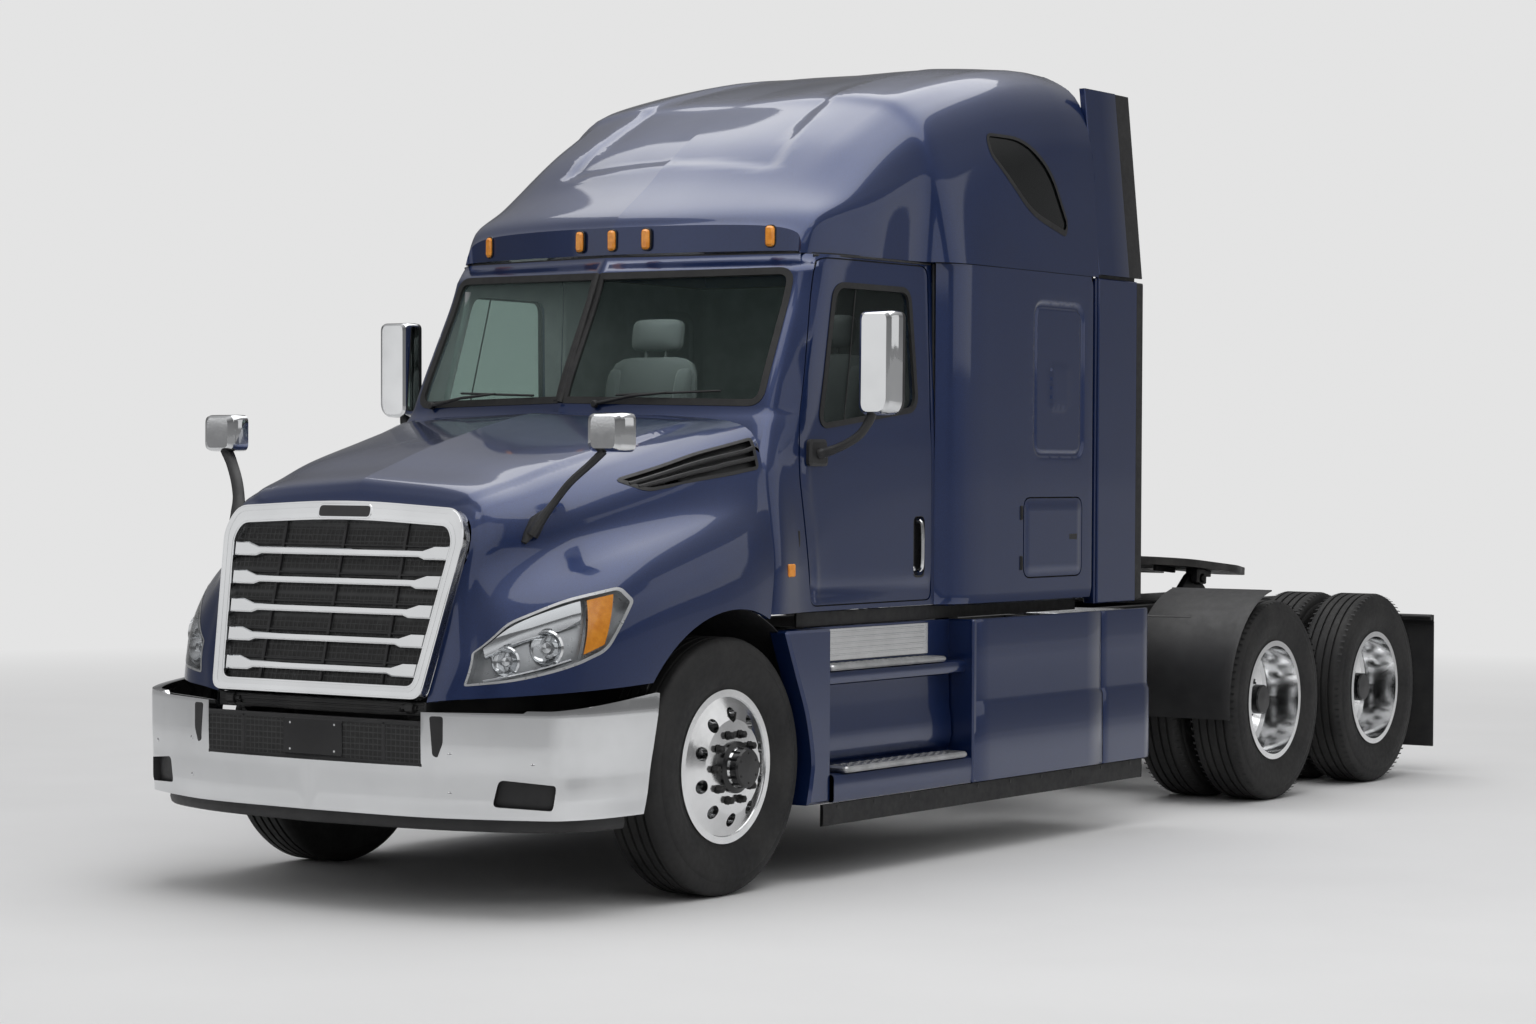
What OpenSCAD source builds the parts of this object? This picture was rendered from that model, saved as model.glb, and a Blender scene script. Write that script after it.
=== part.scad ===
// Conventional road tractor with a raised-roof sleeper, in millimetres.
// The truck faces -Y, its driver's (left) side is +X and the ground is z = 0.
// Sizes are written from the front axle line (y = 0); placed() moves them so
// that the origin is under the middle of the whole vehicle.

/* [Overall] */
// Front axle line to the middle of the drive tandem
wheelbase = 5830; // [5600:10:6600]
// Distance between the two drive axles
tandem = 1326; // [1250:2:1400]
// Front face of the bumper ahead of the front axle
front_overhang = 1320; // [1320:1:1340]
// Rear face of the mud flaps behind the middle of the tandem
rear_reach = 1460; // [1400:10:1800]
// Height of the roof's crest
roof_z = 3815; // [3700:5:3950]

/* [Wheels] */
// Tyre's outer radius
tyre_r = 544; // [500:2:556]
// Tyre's section width
tyre_w = 280; // [250:2:290]
// Radius of the rim's bead seat
seat_r = 311; // [290:1:320]
// Front tyre's middle plane from the centre line
front_x = 1042; // [1030:1:1060]
// Outer drive tyre's middle plane from the centre line
rear_x = 1090; // [1080:1:1110]
// Distance between twin tyres' middle planes
dual = 343; // [330:1:350]
// Kingpin axis from the centre line
kingpin_x = 930; // [920:1:940]
// Spindle radius
spindle_r = 45; // [35:1:50]

/* [Frame] */
// Height of the rails' top
rail_top = 1040; // [1000:5:1060]
// Depth of a rail
rail_h = 270; // [220:5:300]
// Outer face of a rail from the centre line
rail_x = 430; // [410:5:440]

/* [Cab] */
// Thickness of the cab's and sleeper's walls and doors
wall = 60; // [40:2:70]
// Underside of the cab
cab_z = 1170; // [1150:5:1190]
// Seam between cab and roof cap
seam_z = 2752; // [2740:1:2770]
// Outer face of a door from the centre line, at its foot
door_x = 1105; // [1095:1:1112]
// Rear of the cab and front of the sleeper
cab_y = 1750; // [1700:10:1780]
// Outer face of the sleeper's side
sleeper_x = 1202; // [1190:1:1210]
// Rear face of the sleeper
sleeper_y = 3150; // [3100:10:3300]
// Thickness of the roof cap's skin
roof_skin = 40; // [25:1:50]

/* [Hood] */
// Thickness of the hood's panel
hood_skin = 30; // [20:1:40]
// Half width over the front fenders
fender_x = 1215; // [1205:1:1225]
// Radius of the front wheel arch
arch_r = 660; // [640:5:680]
// Height of the hood's hinge
hood_pivot_z = 830; // [825:1:835]
// Hood's hinge ahead of the front axle
hood_pivot_y = 1235; // [1230:1:1240]

/* [Fifth wheel] */
// Width of the top plate
plate_w = 900; // [800:10:960]
// Thickness of the top plate
plate_t = 45; // [35:1:60]
// Kingpin radius that the lock holds
lock_r = 25.4; // [25.4:0.1:44.5]
// How far the plate leans to the rear when free
plate_lean = 4.7; // [0:0.1:8]

/* [Fits] */
// Gap around a door
door_gap = 10; // [8:1:14]
// Gap around a luggage door
hatch_gap = 7; // [6:1:10]
// Running clearance of a pin
pin_gap = 0.3; // [0.2:0.1:0.5]
// Running clearance of a wheel's spindle
spindle_gap = 0.7; // [0.5:0.1:0.9]
// Play round the pins at the ends of the tie rod
tie_gap = 0.8; // [0.5:0.1:1]

/* [Hidden] */
$fn = 72;
// Facets of the widest circles
fine = 360;

// The origin lies under the middle of the vehicle's length
front_axle_y = front_overhang - (front_overhang + wheelbase + rear_reach) / 2;
// Drive axles, from the front axle
drive_y = [wheelbase - tandem / 2, wheelbase + tandem / 2];
// Rearmost face of the vehicle, from the front axle
tail_y = wheelbase + rear_reach;
axle_z = tyre_r;
rail_low = rail_top - rail_h;
rail_flange = 90;
rail_t = 10;
// Front end of the rails
rail_front = 200 - front_overhang;
// Half width of the bumper's middle opening, clear of the tilting grille
bumper_gap_x = 582;
floor_t = 60;

blue = [0.05, 0.10, 0.27];
black = [0.06, 0.06, 0.065];
chrome = [0.86, 0.87, 0.88];
steel = [0.30, 0.31, 0.32];
glass = [0.25, 0.32, 0.32, 0.5];

module placed() { translate([0, front_axle_y, 0]) children(); }
module both_sides() { children(); mirror([1, 0, 0]) children(); }
module box(low, high) { translate(low) cube(high - low); }
// A solid of revolution about X, whose outline is given as [radius, x]
module turned_x(points) { rotate([90, 0, 90]) rotate_extrude() polygon(points); }
// A bar along X between two planes
module bar_x(x0, x1, r, y, z, facets = $fn) {
    translate([x0, y, z]) rotate([0, 90, 0]) cylinder(r = r, h = x1 - x0, $fn = facets);
}
// A prism along X whose outline is given in Y and Z
module prism_x(x0, x1, points) {
    translate([x0, 0, 0]) rotate([90, 0, 90]) linear_extrude(x1 - x0) polygon(points);
}
// A prism along Y whose outline is given in X and Z
module prism_y(y0, y1, points) {
    translate([0, y1, 0]) rotate([90, 0, 0]) linear_extrude(y1 - y0) polygon(points);
}
// A prism along Z whose outline is given in X and Y
module prism_z(z0, z1, points) { translate([0, 0, z0]) linear_extrude(z1 - z0) polygon(points); }
// A round rod between two points
module rod(a, b, r) {
    d = b - a;
    translate(a) rotate([0, acos(d[2] / norm(d)), atan2(d[1], d[0])]) cylinder(r = r, h = norm(d), $fn = 24);
}

// Left half of a section, mirrored into a closed symmetric outline
function closed_section(half) =
    concat(half, [for (i = [len(half) - 1:-1:0]) if (half[i][0] > 0) [-half[i][0], half[i][1], half[i][2]]]);
// The end of a loft, in flat strips across a symmetric ring or as one flat face
function cap_faces(n, base, strips) = !strips ? [[for (i = [0:n - 1]) base + i]]
    : [for (i = [0:(n - 3) / 2]) i == (n - 3) / 2 ? [base + i, base + i + 1, base + i + 2]
        : [base + i, base + i + 1, base + n - 2 - i, base + n - 1 - i]];
function turned_over(faces) = [for (f = faces) [for (i = [len(f) - 1:-1:0]) f[i]]];
// A skin lofted through closed rings that all have the same number of points
module loft(rings, strips = true) {
    n = len(rings[0]);
    last = (len(rings) - 1) * n;
    polyhedron(
        points = [for (ring = rings) for (p = ring) p],
        faces = concat(
            [for (k = [0:len(rings) - 2]) for (i = [0:n - 1]) each [
                [k * n + i, k * n + (i + 1) % n, (k + 1) * n + i],
                [k * n + (i + 1) % n, (k + 1) * n + (i + 1) % n, (k + 1) * n + i]]],
            turned_over(cap_faces(n, 0, strips)),
            cap_faces(n, last, strips)));
}

// ---------------------------------------------------------------- hood
// Each station: y at the grille's foot, lean, bow, then [x, z] from the lower edge to the crown
hood_stations = [
    [-1240, 0.256, 0, [[565, 856], [585, 1000], [600, 1150], [625, 1320], [662, 1520], [610, 1622], [0, 1652]]],
    [-1205, 0.256, 20, [[665, 868], [700, 1000], [692, 1100], [664, 1300], [690, 1540], [620, 1662], [0, 1700]]],
    [-1120, 0.22, 40, [[865, 882], [880, 1050], [845, 1170], [722, 1360], [732, 1560], [640, 1702], [0, 1742]]],
    [-900, 0.15, 50, [[1065, 900], [1075, 1120], [1005, 1300], [835, 1425], [805, 1605], [680, 1748], [0, 1792]]],
    [-600, 0.08, 60, [[1165, 920], [1172, 1220], [1105, 1410], [935, 1505], [885, 1680], [720, 1822], [0, 1866]]],
    [-200, 0.03, 80, [[fender_x - 8, 950], [fender_x - 5, 1300], [1152, 1500], [1022, 1605], [965, 1785],
        [770, 1902], [0, 1950]]],
    [60, 0.06, 90, [[fender_x, 1000], [fender_x, 1360], [1168, 1548], [1068, 1690], [1005, 1885],
        [810, 1968], [0, 2012]]],
    [225, 0.13, 100, [[fender_x - 15, 1165], [fender_x - 15, 1405], [1155, 1575], [1102, 1790], [1035, 1972],
        [850, 2022], [0, 2046]]]];
hood_foot_z = 856;
// How much of the skin's thickness each point of a section moves in x and in z
hood_inward = [[1, 0], [1, 0], [1, 0.6], [1, 0.8], [1, 0.5], [0.6, 1], [0, 1]];

function hood_y(s, x, z) = s[0] + s[1] * (z - hood_foot_z) - s[2] * (1 - pow(min(1, abs(x) / 1000), 2));
function hood_ring(s, inset, shift) = closed_section([for (i = [0:len(s[3]) - 1])
    let (x = s[3][i][0] - inset * hood_inward[i][0], z = s[3][i][1] - inset * hood_inward[i][1])
    [x, hood_y(s, s[3][i][0], s[3][i][1]) + shift, z]]);
// The lower edge dropped well below the skin, so that the hollow is open underneath
function dropped(ring, n) = [for (i = [0:len(ring) - 1])
    i == 0 || i == n ? [ring[i][0], ring[i][1], ring[i][2] - 300] : ring[i]];
module hood_outer() { loft([for (s = hood_stations) hood_ring(s, 0, 0)]); }
module hood_inner(skin) {
    rings = [for (s = hood_stations) dropped(hood_ring(s, skin, 0), len(hood_ring(s, 0, 0)) - 1)];
    first = hood_ring(hood_stations[0], skin, 1.3 * skin);
    n = len(rings[0]);
    loft(concat([dropped(first, n - 1)], [for (k = [2:len(rings) - 1]) rings[k]],
        [[for (p = rings[len(rings) - 1]) [p[0], p[1] + 200, p[2]]]]));
}
// Front view of a headlight
lamp_front = [[712, 925], [724, 1050], [850, 1180], [1000, 1262], [1260, 1325], [1260, 1052], [1000, 990]];
module lamp_region() { both_sides() prism_y(-1400, -640, lamp_front); }
module grille_hole() {
    prism_y(-1400, -1000, [[-505, 905], [505, 905], [590, 1540], [-590, 1540]]);
}
module wheel_arch() { bar_x(-1500, 1500, arch_r, 0, axle_z - 10, fine); }
hood_lug_x = [465, 505];
hood_lug_r = 26;
hood_pin_r = 14;

module hood_shell() {
    color(blue) placed() {
        difference() {
            union() {
                difference() { hood_outer(); hood_inner(hood_skin); }
                both_sides() {
                    bar_x(hood_lug_x[0], hood_lug_x[1], hood_lug_r, -hood_pivot_y, hood_pivot_z);
                    box([hood_lug_x[0], -hood_pivot_y + 15, hood_pivot_z],
                        [hood_lug_x[1], -hood_pivot_y + 38, hood_pivot_z + 90]);
                }
            }
            wheel_arch();
            lamp_region();
            grille_hole();
            // Clearance to the middle of the cab's front
            box([-520, 294, 1900], [520, 420, 2100]);
            both_sides() bar_x(440, 560, hood_pin_r + pin_gap, -hood_pivot_y, hood_pivot_z);
        }
    }
}
// The grille leans back with the hood's front
grille_lean = atan(hood_stations[0][1]);
grille_t = 44;
module grille_plane() {
    translate([0, hood_stations[0][0] - 0.2, hood_foot_z]) rotate([-grille_lean, 0, 0]) children();
}
module grille() {
    stretch = 1 / cos(grille_lean);
    rim = [[-565, 0], [565, 0], [662, 664], [610, 766], [0, 796], [-610, 766], [-662, 664]];
    hole = [[-500, 66], [500, 66], [575, 640], [560, 700], [-560, 700], [-575, 640]];
    color(chrome) placed() grille_plane() {
        difference() {
            prism_y(-grille_t, 0, [for (p = rim) [p[0], p[1] * stretch]]);
            prism_y(-grille_t - 1, 1, [for (p = hole) [p[0], p[1] * stretch]]);
        }
        for (i = [0:4]) box([-590 + 14 * (4 - i), -grille_t + 2, 130 + i * 126], [590 - 14 * (4 - i), -8, 168 + i * 126]);
        prism_y(-10, 0, [for (p = hole) [p[0] * 1.02, p[1] * stretch]]);
    }
}
module headlights() {
    color(glass) placed() intersection() {
        difference() { hood_outer(); hood_inner(hood_skin); }
        lamp_region();
    }
}
hood_mirror = [1057, -687, 1938];
module hood_mirrors() {
    head = [105, 52, 84];
    foot = [818, -842, 1560];
    elbow = [905, -770, 1700];
    color(black) placed() both_sides() difference() {
        union() {
            box(hood_mirror - head, hood_mirror + head);
            rod(foot - [10, 46, 70], foot + [6, 6, 10], 26);
            rod(foot, elbow + [4, 4, 7], 19);
            rod(elbow - [0, 0, 4], hood_mirror - [20, 0, 80], 16);
        }
        hood_outer();
    }
}

// ---------------------------------------------------------------- cab
// Each level: z, then [x, y] from the middle of the front, round the corner, to the rear
cab_levels = [
    [cab_z, [[0, 318], [1000, 330], [1195, 302], [door_x + 5, 680], [door_x, cab_y]]],
    [1410, [[0, 320], [1000, 332], [1195, 326], [door_x + 5, 660], [door_x, cab_y]]],
    [1790, [[0, 326], [985, 345], [1098, 376], [door_x, 620], [door_x, cab_y]]],
    [2044, [[0, 308], [985, 495], [1022, 520], [door_x - 15, 700], [door_x - 5, cab_y]]],
    [2700, [[0, 655], [965, 832], [985, 850], [1045, 950], [1080, cab_y]]],
    [seam_z, [[0, 682], [962, 860], [982, 880], [1042, 975], [1078, cab_y]]]];
function cab_ring(level, inset, z) = [for (side = [-1, 1]) for (i = side < 0 ? [0:4] : [4:-1:1])
    let (p = level[1][i], dx = i == 0 ? 0 : inset, dy = i == 4 ? 0 : i == 3 ? 0 : inset)
    [side * (p[0] - dx), p[1] + dy, z]];
module cab_solid(inset, low, high) {
    count = len(cab_levels) - 1;
    loft([for (k = [0:count]) cab_ring(cab_levels[k], inset,
        k == 0 ? cab_levels[0][0] + low : k == count ? seam_z + high : cab_levels[k][0])], false);
}
// Side view of a door, and of its window
door_side = [[700, 1190], [612, 1790], [640, 1960], [880, 2735], [1722, 2735], [1722, 1190]];
window_side = [[800, 1985], [810, 2080], [985, 2600], [1040, 2630], [1545, 2630], [1570, 2600], [1600, 2100], [1580, 2070],
    [870, 1975]];
// The door's outline taken in by the gap that stays around it
door_inset = [[700 + door_gap, 1190], [612 + door_gap, 1790], [640 + door_gap, 1960], [880 + door_gap, 2735],
    [1722 - door_gap, 2735], [1722 - door_gap, 1190]];
door_foot_gap = 8;
module door_region(points, x0) { prism_x(x0, 1300, points); }
windshield_pane = [[20, 2104], [952, 2088], [930, 2662], [20, 2652]];
module windshield_region() { both_sides() prism_y(100, 1100, windshield_pane); }

// Hinges of the doors: their axis, and the heights of the two barrels
door_hinge = [1112, 598];
door_hinge_z = [1290, 1490];
hinge_half = 36;
hinge_pin_r = 6;
hinge_barrel_r = 12;
module hinge_pocket(axis, z, reach) {
    box([axis[0] - 27, axis[1] - 22, z - hinge_half - 8], [axis[0] + 120, axis[1] + reach, z + hinge_half + 8]);
}
module hinge_pin(axis, z) {
    translate([axis[0], axis[1], z - hinge_half - 20]) cylinder(r = hinge_pin_r, h = 2 * hinge_half + 40);
}
module hinge_barrel(axis, z, reach) {
    difference() {
        union() {
            translate([axis[0], axis[1], z - hinge_half]) cylinder(r = hinge_barrel_r, h = 2 * hinge_half);
            box([axis[0] - 18, axis[1], z - hinge_half], [axis[0] - 8, axis[1] + reach, z + hinge_half]);
        }
        translate([axis[0], axis[1], z - hinge_half - 1])
            cylinder(r = hinge_pin_r + pin_gap, h = 2 * hinge_half + 2);
    }
}
module cab_shell() {
    color(blue) placed() {
        difference() {
            cab_solid(0, 0, 0);
            cab_solid(wall, floor_t, 10);
            // The way through to the sleeper, between the jambs
            box([-960, cab_y - 400, cab_z + floor_t], [960, cab_y + 10, seam_z + 10]);
            windshield_region();
            both_sides() door_region(door_side, 960);
            both_sides() for (z = door_hinge_z) hinge_pocket(door_hinge, z, 100);
        }
        both_sides() for (z = door_hinge_z) hinge_pin(door_hinge, z);
    }
}
module windshield() {
    color(glass) placed() intersection() {
        difference() { cab_solid(22, 0, 0); cab_solid(30, -10, 10); }
        windshield_region();
    }
}
module door_panel() {
    difference() {
        intersection() {
            difference() { cab_solid(0, 0, 0); cab_solid(wall, -50, 50); }
            prism_x(970, 1300, [for (p = door_inset)
                [p[0], p[1] < 1500 ? p[1] + door_foot_gap : p[1] > 2500 ? p[1] - door_foot_gap : p[1]]]);
        }
        door_region(window_side, 960);
        // Room for the cab's half of each hinge
        for (z = door_hinge_z) box([door_hinge[0] - 27, 500, z - hinge_half - 8],
            [1300, door_hinge[1] + 60, z + hinge_half + 8]);
    }
    for (z = door_hinge_z) hinge_barrel(door_hinge, z, 100);
}
module door_glass() {
    intersection() {
        difference() { cab_solid(26, 0, 0); cab_solid(32, -10, 10); }
        door_region(window_side, 960);
    }
}
door_mirror = [1367, 855, 2258];
module door_mirror_piece() {
    head = [100, 62, 233];
    foot = [1118, 745, 1862];
    elbow = [1250, 790, 1895];
    color(black) difference() {
        union() {
            box(door_mirror - head, door_mirror + head);
            rod(foot, elbow + [8, 3, 2], 24);
            rod(elbow - [2, 1, 4], door_mirror - [30, 0, 225], 22);
            box([foot[0] - 40, foot[1] - 80, foot[2] - 55], [foot[0] + 26, foot[1] + 80, foot[2] + 60]);
        }
        cab_solid(0, 0, 0);
    }
}
module door_left() { color(blue) placed() door_panel(); }
module door_right() { color(blue) placed() mirror([1, 0, 0]) door_panel(); }
module door_glass_left() { color(glass) placed() door_glass(); }
module door_glass_right() { color(glass) placed() mirror([1, 0, 0]) door_glass(); }
module door_mirror_left() { placed() door_mirror_piece(); }
module door_mirror_right() { placed() mirror([1, 0, 0]) door_mirror_piece(); }

module dashboard() {
    outline = [[412, 1500], [412, 1780], [600, 1975], [800, 1990], [900, 1920], [860, 1620], [720, 1460]];
    color(black) placed() {
        prism_x(-930, 930, outline);
        // Console down to the floor, and the steering column
        box([-180, 430, cab_z + floor_t], [180, 700, 1520]);
        rod(steering_axis_point(-480), steering_axis_point(-55.3), 32);
    }
}
steering_centre = [500, 1060, 1925];
steering_tilt = 35;
steering_normal = [0, sin(steering_tilt), cos(steering_tilt)];
function steering_axis_point(along) = steering_centre + along * steering_normal;
module steering_wheel() {
    rim_r = 228;
    color(black) placed() translate(steering_centre) rotate([-steering_tilt, 0, 0]) {
        rotate_extrude() translate([rim_r, 0]) circle(r = 16, $fn = 24);
        translate([0, 0, -55]) cylinder(r = 75, h = 40);
        for (a = [90, 210, 330]) rotate([0, 0, a]) hull() {
            translate([60, -20, -45]) cube([10, 40, 14]);
            translate([rim_r - 14, -14, -7]) cube([8, 28, 10]);
        }
    }
}
module seat(x) {
    box([x - 250, 1170, cab_z + floor_t], [x + 250, 1640, 1580]);
    box([x - 270, 1130, 1580], [x + 270, 1680, 1740]);
    translate([x - 265, 1590, 1740]) prism_x(0, 530, [[0, 0], [130, 0], [215, 620], [110, 620]]);
    translate([x - 150, 1700, 2360]) prism_x(0, 300, [[0, 0], [105, 0], [135, 180], [40, 180]]);
}
module seats() { color(black) placed() { seat(500); seat(-500); } }
bunk_front = 2260;
module bunk() {
    color([0.3, 0.3, 0.32]) placed() {
        x = sleeper_x - wall - 20;
        rear = sleeper_y - wall - 25;
        box([-x, bunk_front, cab_z + floor_t], [x, rear, 1640]);
        box([-x, bunk_front - 20, 1640], [x, rear, 1790]);
    }
}

// ---------------------------------------------------------------- sleeper and roof
sleeper_flare = 85;
function sleeper_plan(inset) = [
    [door_x - inset, cab_y + (inset > 0 ? -1 : 0)], [sleeper_x - 8 - inset, cab_y + sleeper_flare],
    [sleeper_x - inset, 2400], [sleeper_x - inset, sleeper_y - 50 - inset / 2],
    [sleeper_x - 45 - inset, sleeper_y - inset]];
function mirrored_plan(points) = concat(points, [for (i = [len(points) - 1:-1:0]) [-points[i][0], points[i][1]]]);
// Side view of a luggage door
hatch_y = [2405, 2985];
hatch_z = [1275, 1665];
hatch_hinge = [sleeper_x - 3, hatch_y[0] - 18];
hatch_hinge_z = [1350, 1590];
module sleeper_shell() {
    color(blue) placed() {
        difference() {
            prism_z(cab_z, seam_z, mirrored_plan(sleeper_plan(0)));
            prism_z(cab_z + floor_t, seam_z + 1, mirrored_plan(sleeper_plan(wall)));
            both_sides() box([1000, hatch_y[0], hatch_z[0]], [1300, hatch_y[1], hatch_z[1]]);
            both_sides() for (z = hatch_hinge_z) hinge_pocket(hatch_hinge, z, 60);
        }
        both_sides() for (z = hatch_hinge_z) hinge_pin(hatch_hinge, z);
    }
}
module luggage_door() {
    difference() {
        intersection() {
            difference() {
                prism_z(cab_z, seam_z, mirrored_plan(sleeper_plan(0)));
                prism_z(cab_z - 1, seam_z + 1, mirrored_plan(sleeper_plan(wall)));
            }
            box([1000, hatch_y[0] + hatch_gap, hatch_z[0] + hatch_gap],
                [1300, hatch_y[1] - hatch_gap, hatch_z[1] - hatch_gap]);
        }
        for (z = hatch_hinge_z) hinge_pocket(hatch_hinge, z, 60);
    }
    for (z = hatch_hinge_z) hinge_barrel(hatch_hinge, z, 70);
}
module luggage_door_left() { color(blue) placed() luggage_door(); }
module luggage_door_right() { color(blue) placed() mirror([1, 0, 0]) luggage_door(); }

// Each station: y of the middle, lean above the seam, bow, then [x, z] from the seam to the crown
roof_stations = [
    [690, 0.30, 165, [[955, seam_z], [952, 2800], [930, 2850], [800, 2880], [420, 2890], [0, 2890]]],
    [735, 0.30, 170, [[982, seam_z], [985, 2880], [965, 2935], [800, 2955], [420, 2960], [0, 2960]]],
    [900, 0.30, 160, [[1018, seam_z], [1020, 2950], [985, 3030], [800, 3085], [420, 3105], [0, 3105]]],
    [1200, 0.15, 110, [[1060, seam_z], [1058, 3020], [985, 3190], [800, 3290], [430, 3330], [0, 3330]]],
    [1600, 0.05, 50, [[1085, seam_z], [1085, 3110], [1015, 3350], [830, 3470], [440, 3520], [0, 3515]]],
    [cab_y + sleeper_flare, 0, 0, [[sleeper_x - 12, seam_z], [1130, 3160], [1040, 3430], [850, 3560], [440, 3610],
        [0, 3600]]],
    [2400, 0, 0, [[sleeper_x - 4, seam_z], [1160, 3290], [1075, 3580], [880, 3700], [440, 3745], [0, 3735]]],
    [2850, 0, 0, [[sleeper_x - 4, seam_z], [1165, 3350], [1085, 3645], [890, 3765], [440, roof_z - 5],
        [0, roof_z - 12]]],
    [sleeper_y, 0, 0, [[sleeper_x - 4, seam_z], [1165, 3360], [1080, 3655], [880, 3770], [440, roof_z], [0, roof_z - 5]]]];
roof_inward = [[1, 0], [1, 0], [1, 0.6], [0.4, 1], [0, 1], [0, 1]];
function roof_ring(s, inset, shift, drop) = closed_section([for (i = [0:len(s[3]) - 1])
    let (x = s[3][i][0] - inset * roof_inward[i][0], z = s[3][i][1] - inset * roof_inward[i][1])
    [x, s[0] + s[1] * (s[3][i][1] - seam_z) + s[2] * pow(min(1, s[3][i][0] / 1000), 2) + shift,
        i == 0 ? z - drop : z]]);
module roof_outer() { loft([for (s = roof_stations) roof_ring(s, 0, 0, 0)]); }
module roof_inner(skin) {
    last = len(roof_stations) - 1;
    loft([for (k = [1:last]) roof_ring(roof_stations[k], skin, k == 1 ? skin : k == last ? -skin : 0, 50)]);
}
roof_window = [[2240, 3388], [2180, 3360], [2200, 3280], [2420, 3080], [2720, 2945], [2830, 2945], [2850, 3010],
    [2780, 3180], [2640, 3310], [2480, 3385]];
module roof_window_region() { both_sides() prism_x(900, 1300, roof_window); }
module roof_cap() {
    color(blue) placed() difference() {
        roof_outer();
        roof_inner(roof_skin);
        roof_window_region();
    }
}
module roof_windows() {
    color(glass) placed() intersection() {
        difference() { roof_outer(); roof_inner(10); }
        roof_window_region();
    }
}
extender_rear = 3560;
rubber_w = 80;
module extender_upper(y0, y1, inset) {
    hull() {
        box([sleeper_x - 38 + inset, y0, seam_z + 12], [sleeper_x - inset, y1, seam_z + 30]);
        box([1080 + inset, y0, 3690], [1112 - inset, y1, 3700]);
    }
}
module side_extenders() {
    color(blue) placed() both_sides() {
        box([sleeper_x - 45, sleeper_y, 1130], [sleeper_x - 5, extender_rear, seam_z]);
        extender_upper(sleeper_y, extender_rear - 90, 0);
    }
}
module rubber_edges() {
    color(black) placed() both_sides() {
        box([sleeper_x - 38, extender_rear, 1140], [sleeper_x - 12, extender_rear + rubber_w, seam_z - 4]);
        extender_upper(extender_rear - 90, extender_rear + rubber_w - 10, 7);
        box([1205, 640, 238], [1225, 3590, skirt_z[0]]);
    }
}

// ---------------------------------------------------------------- lower body
skirt_z = [336, 1100];
skirt_x = 1242;
skirt_rear = 3640;
recess_x = 1065;
recess_y = [720, 1890];
lower_tread = 462;
upper_tread = 910;
module side_fairings() {
    post = [[365, skirt_z[1] - 12], [455, axle_z + 356], [532, axle_z + 186], [577, axle_z],
        [566, axle_z - 104], [540, skirt_z[0]], [recess_y[0], skirt_z[0]], [recess_y[0], skirt_z[1]],
        [380, skirt_z[1]]];
    color(blue) placed() both_sides() {
        prism_x(1110, 1215, post);
        box([recess_x, recess_y[0], skirt_z[0]], [recess_x + 40, recess_y[1], skirt_z[1]]);
        box([recess_x, recess_y[0] - 40, skirt_z[0]], [1200, recess_y[0], skirt_z[1]]);
        box([recess_x, recess_y[1], skirt_z[0]], [skirt_x, recess_y[1] + 40, skirt_z[1]]);
        box([recess_x, recess_y[0], skirt_z[0]], [skirt_x - 10, recess_y[1], lower_tread]);
        box([recess_x, recess_y[0], upper_tread - 60], [1195, recess_y[1], upper_tread]);
        box([skirt_x - 40, recess_y[1], skirt_z[0]], [skirt_x, skirt_rear, skirt_z[1]]);
    }
}
module steps() {
    color(chrome) placed() both_sides() {
        box([recess_x + 60, 790, lower_tread], [skirt_x + 10, 1830, lower_tread + 30]);
        box([recess_x + 46, recess_y[0] + 10, upper_tread], [1215, 1700, upper_tread + 28]);
        box([recess_x + 40, recess_y[0] + 10, upper_tread + 34], [recess_x + 46, 1690, skirt_z[1] - 10]);
    }
}
tank_r = 305;
tank_x = 800;
tank_y = [2000, 3450];
tank_z = 690;
module fuel_tanks() {
    color(steel) placed() both_sides() {
        translate([tank_x, tank_y[0], tank_z]) rotate([-90, 0, 0]) cylinder(r = tank_r, h = tank_y[1] - tank_y[0]);
        for (y = [2250, 3150]) box([rail_x, y, 640], [tank_x - 150, y + 70, 1000]);
    }
}
module underbody_boxes() {
    color(steel) placed() both_sides() box([rail_x, 800, 470], [recess_x, 1830, 940]);
}
module deck_plate() {
    color(chrome) placed() box([-700, 3700, rail_top], [700, 4420, rail_top + 12]);
}
module bumper() {
    outer = [[0, -front_overhang], [420, -front_overhang + 14], [635, -1282], [860, -1205], [1020, -1135],
        [1115, -1085], [1178, -960], [1205, -800], [1215, -540]];
    inner = [[1170, -540], [1160, -790], [1135, -930], [1080, -1035], [990, -1085], [840, -1158], [620, -1236],
        [410, -front_overhang + 58], [0, -front_overhang + 46]];
    plan = concat(outer, inner);
    mirrored = concat([for (p = outer) p], [for (p = inner) p],
        [for (i = [len(inner) - 2:-1:0]) [-inner[i][0], inner[i][1]]],
        [for (i = [len(outer) - 1:-1:1]) [-outer[i][0], outer[i][1]]]);
    color(chrome) placed() difference() {
        prism_z(400, 880, mirrored);
        // The middle is open above the lower lip for the lower grille
        box([-bumper_gap_x, -1400, 600], [bumper_gap_x, -1200, 900]);
        // The top edge rises to the rear, and the ends are cut on a slant
        both_sides() prism_x(-10, 1300, [[-1400, 824], [-1150, 834], [-600, 884], [-600, 1000], [-1400, 1000]]);
        both_sides() prism_x(1000, 1300, [[-545, 900], [-700, 380], [-400, 380], [-400, 900]]);
    }
}
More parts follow.
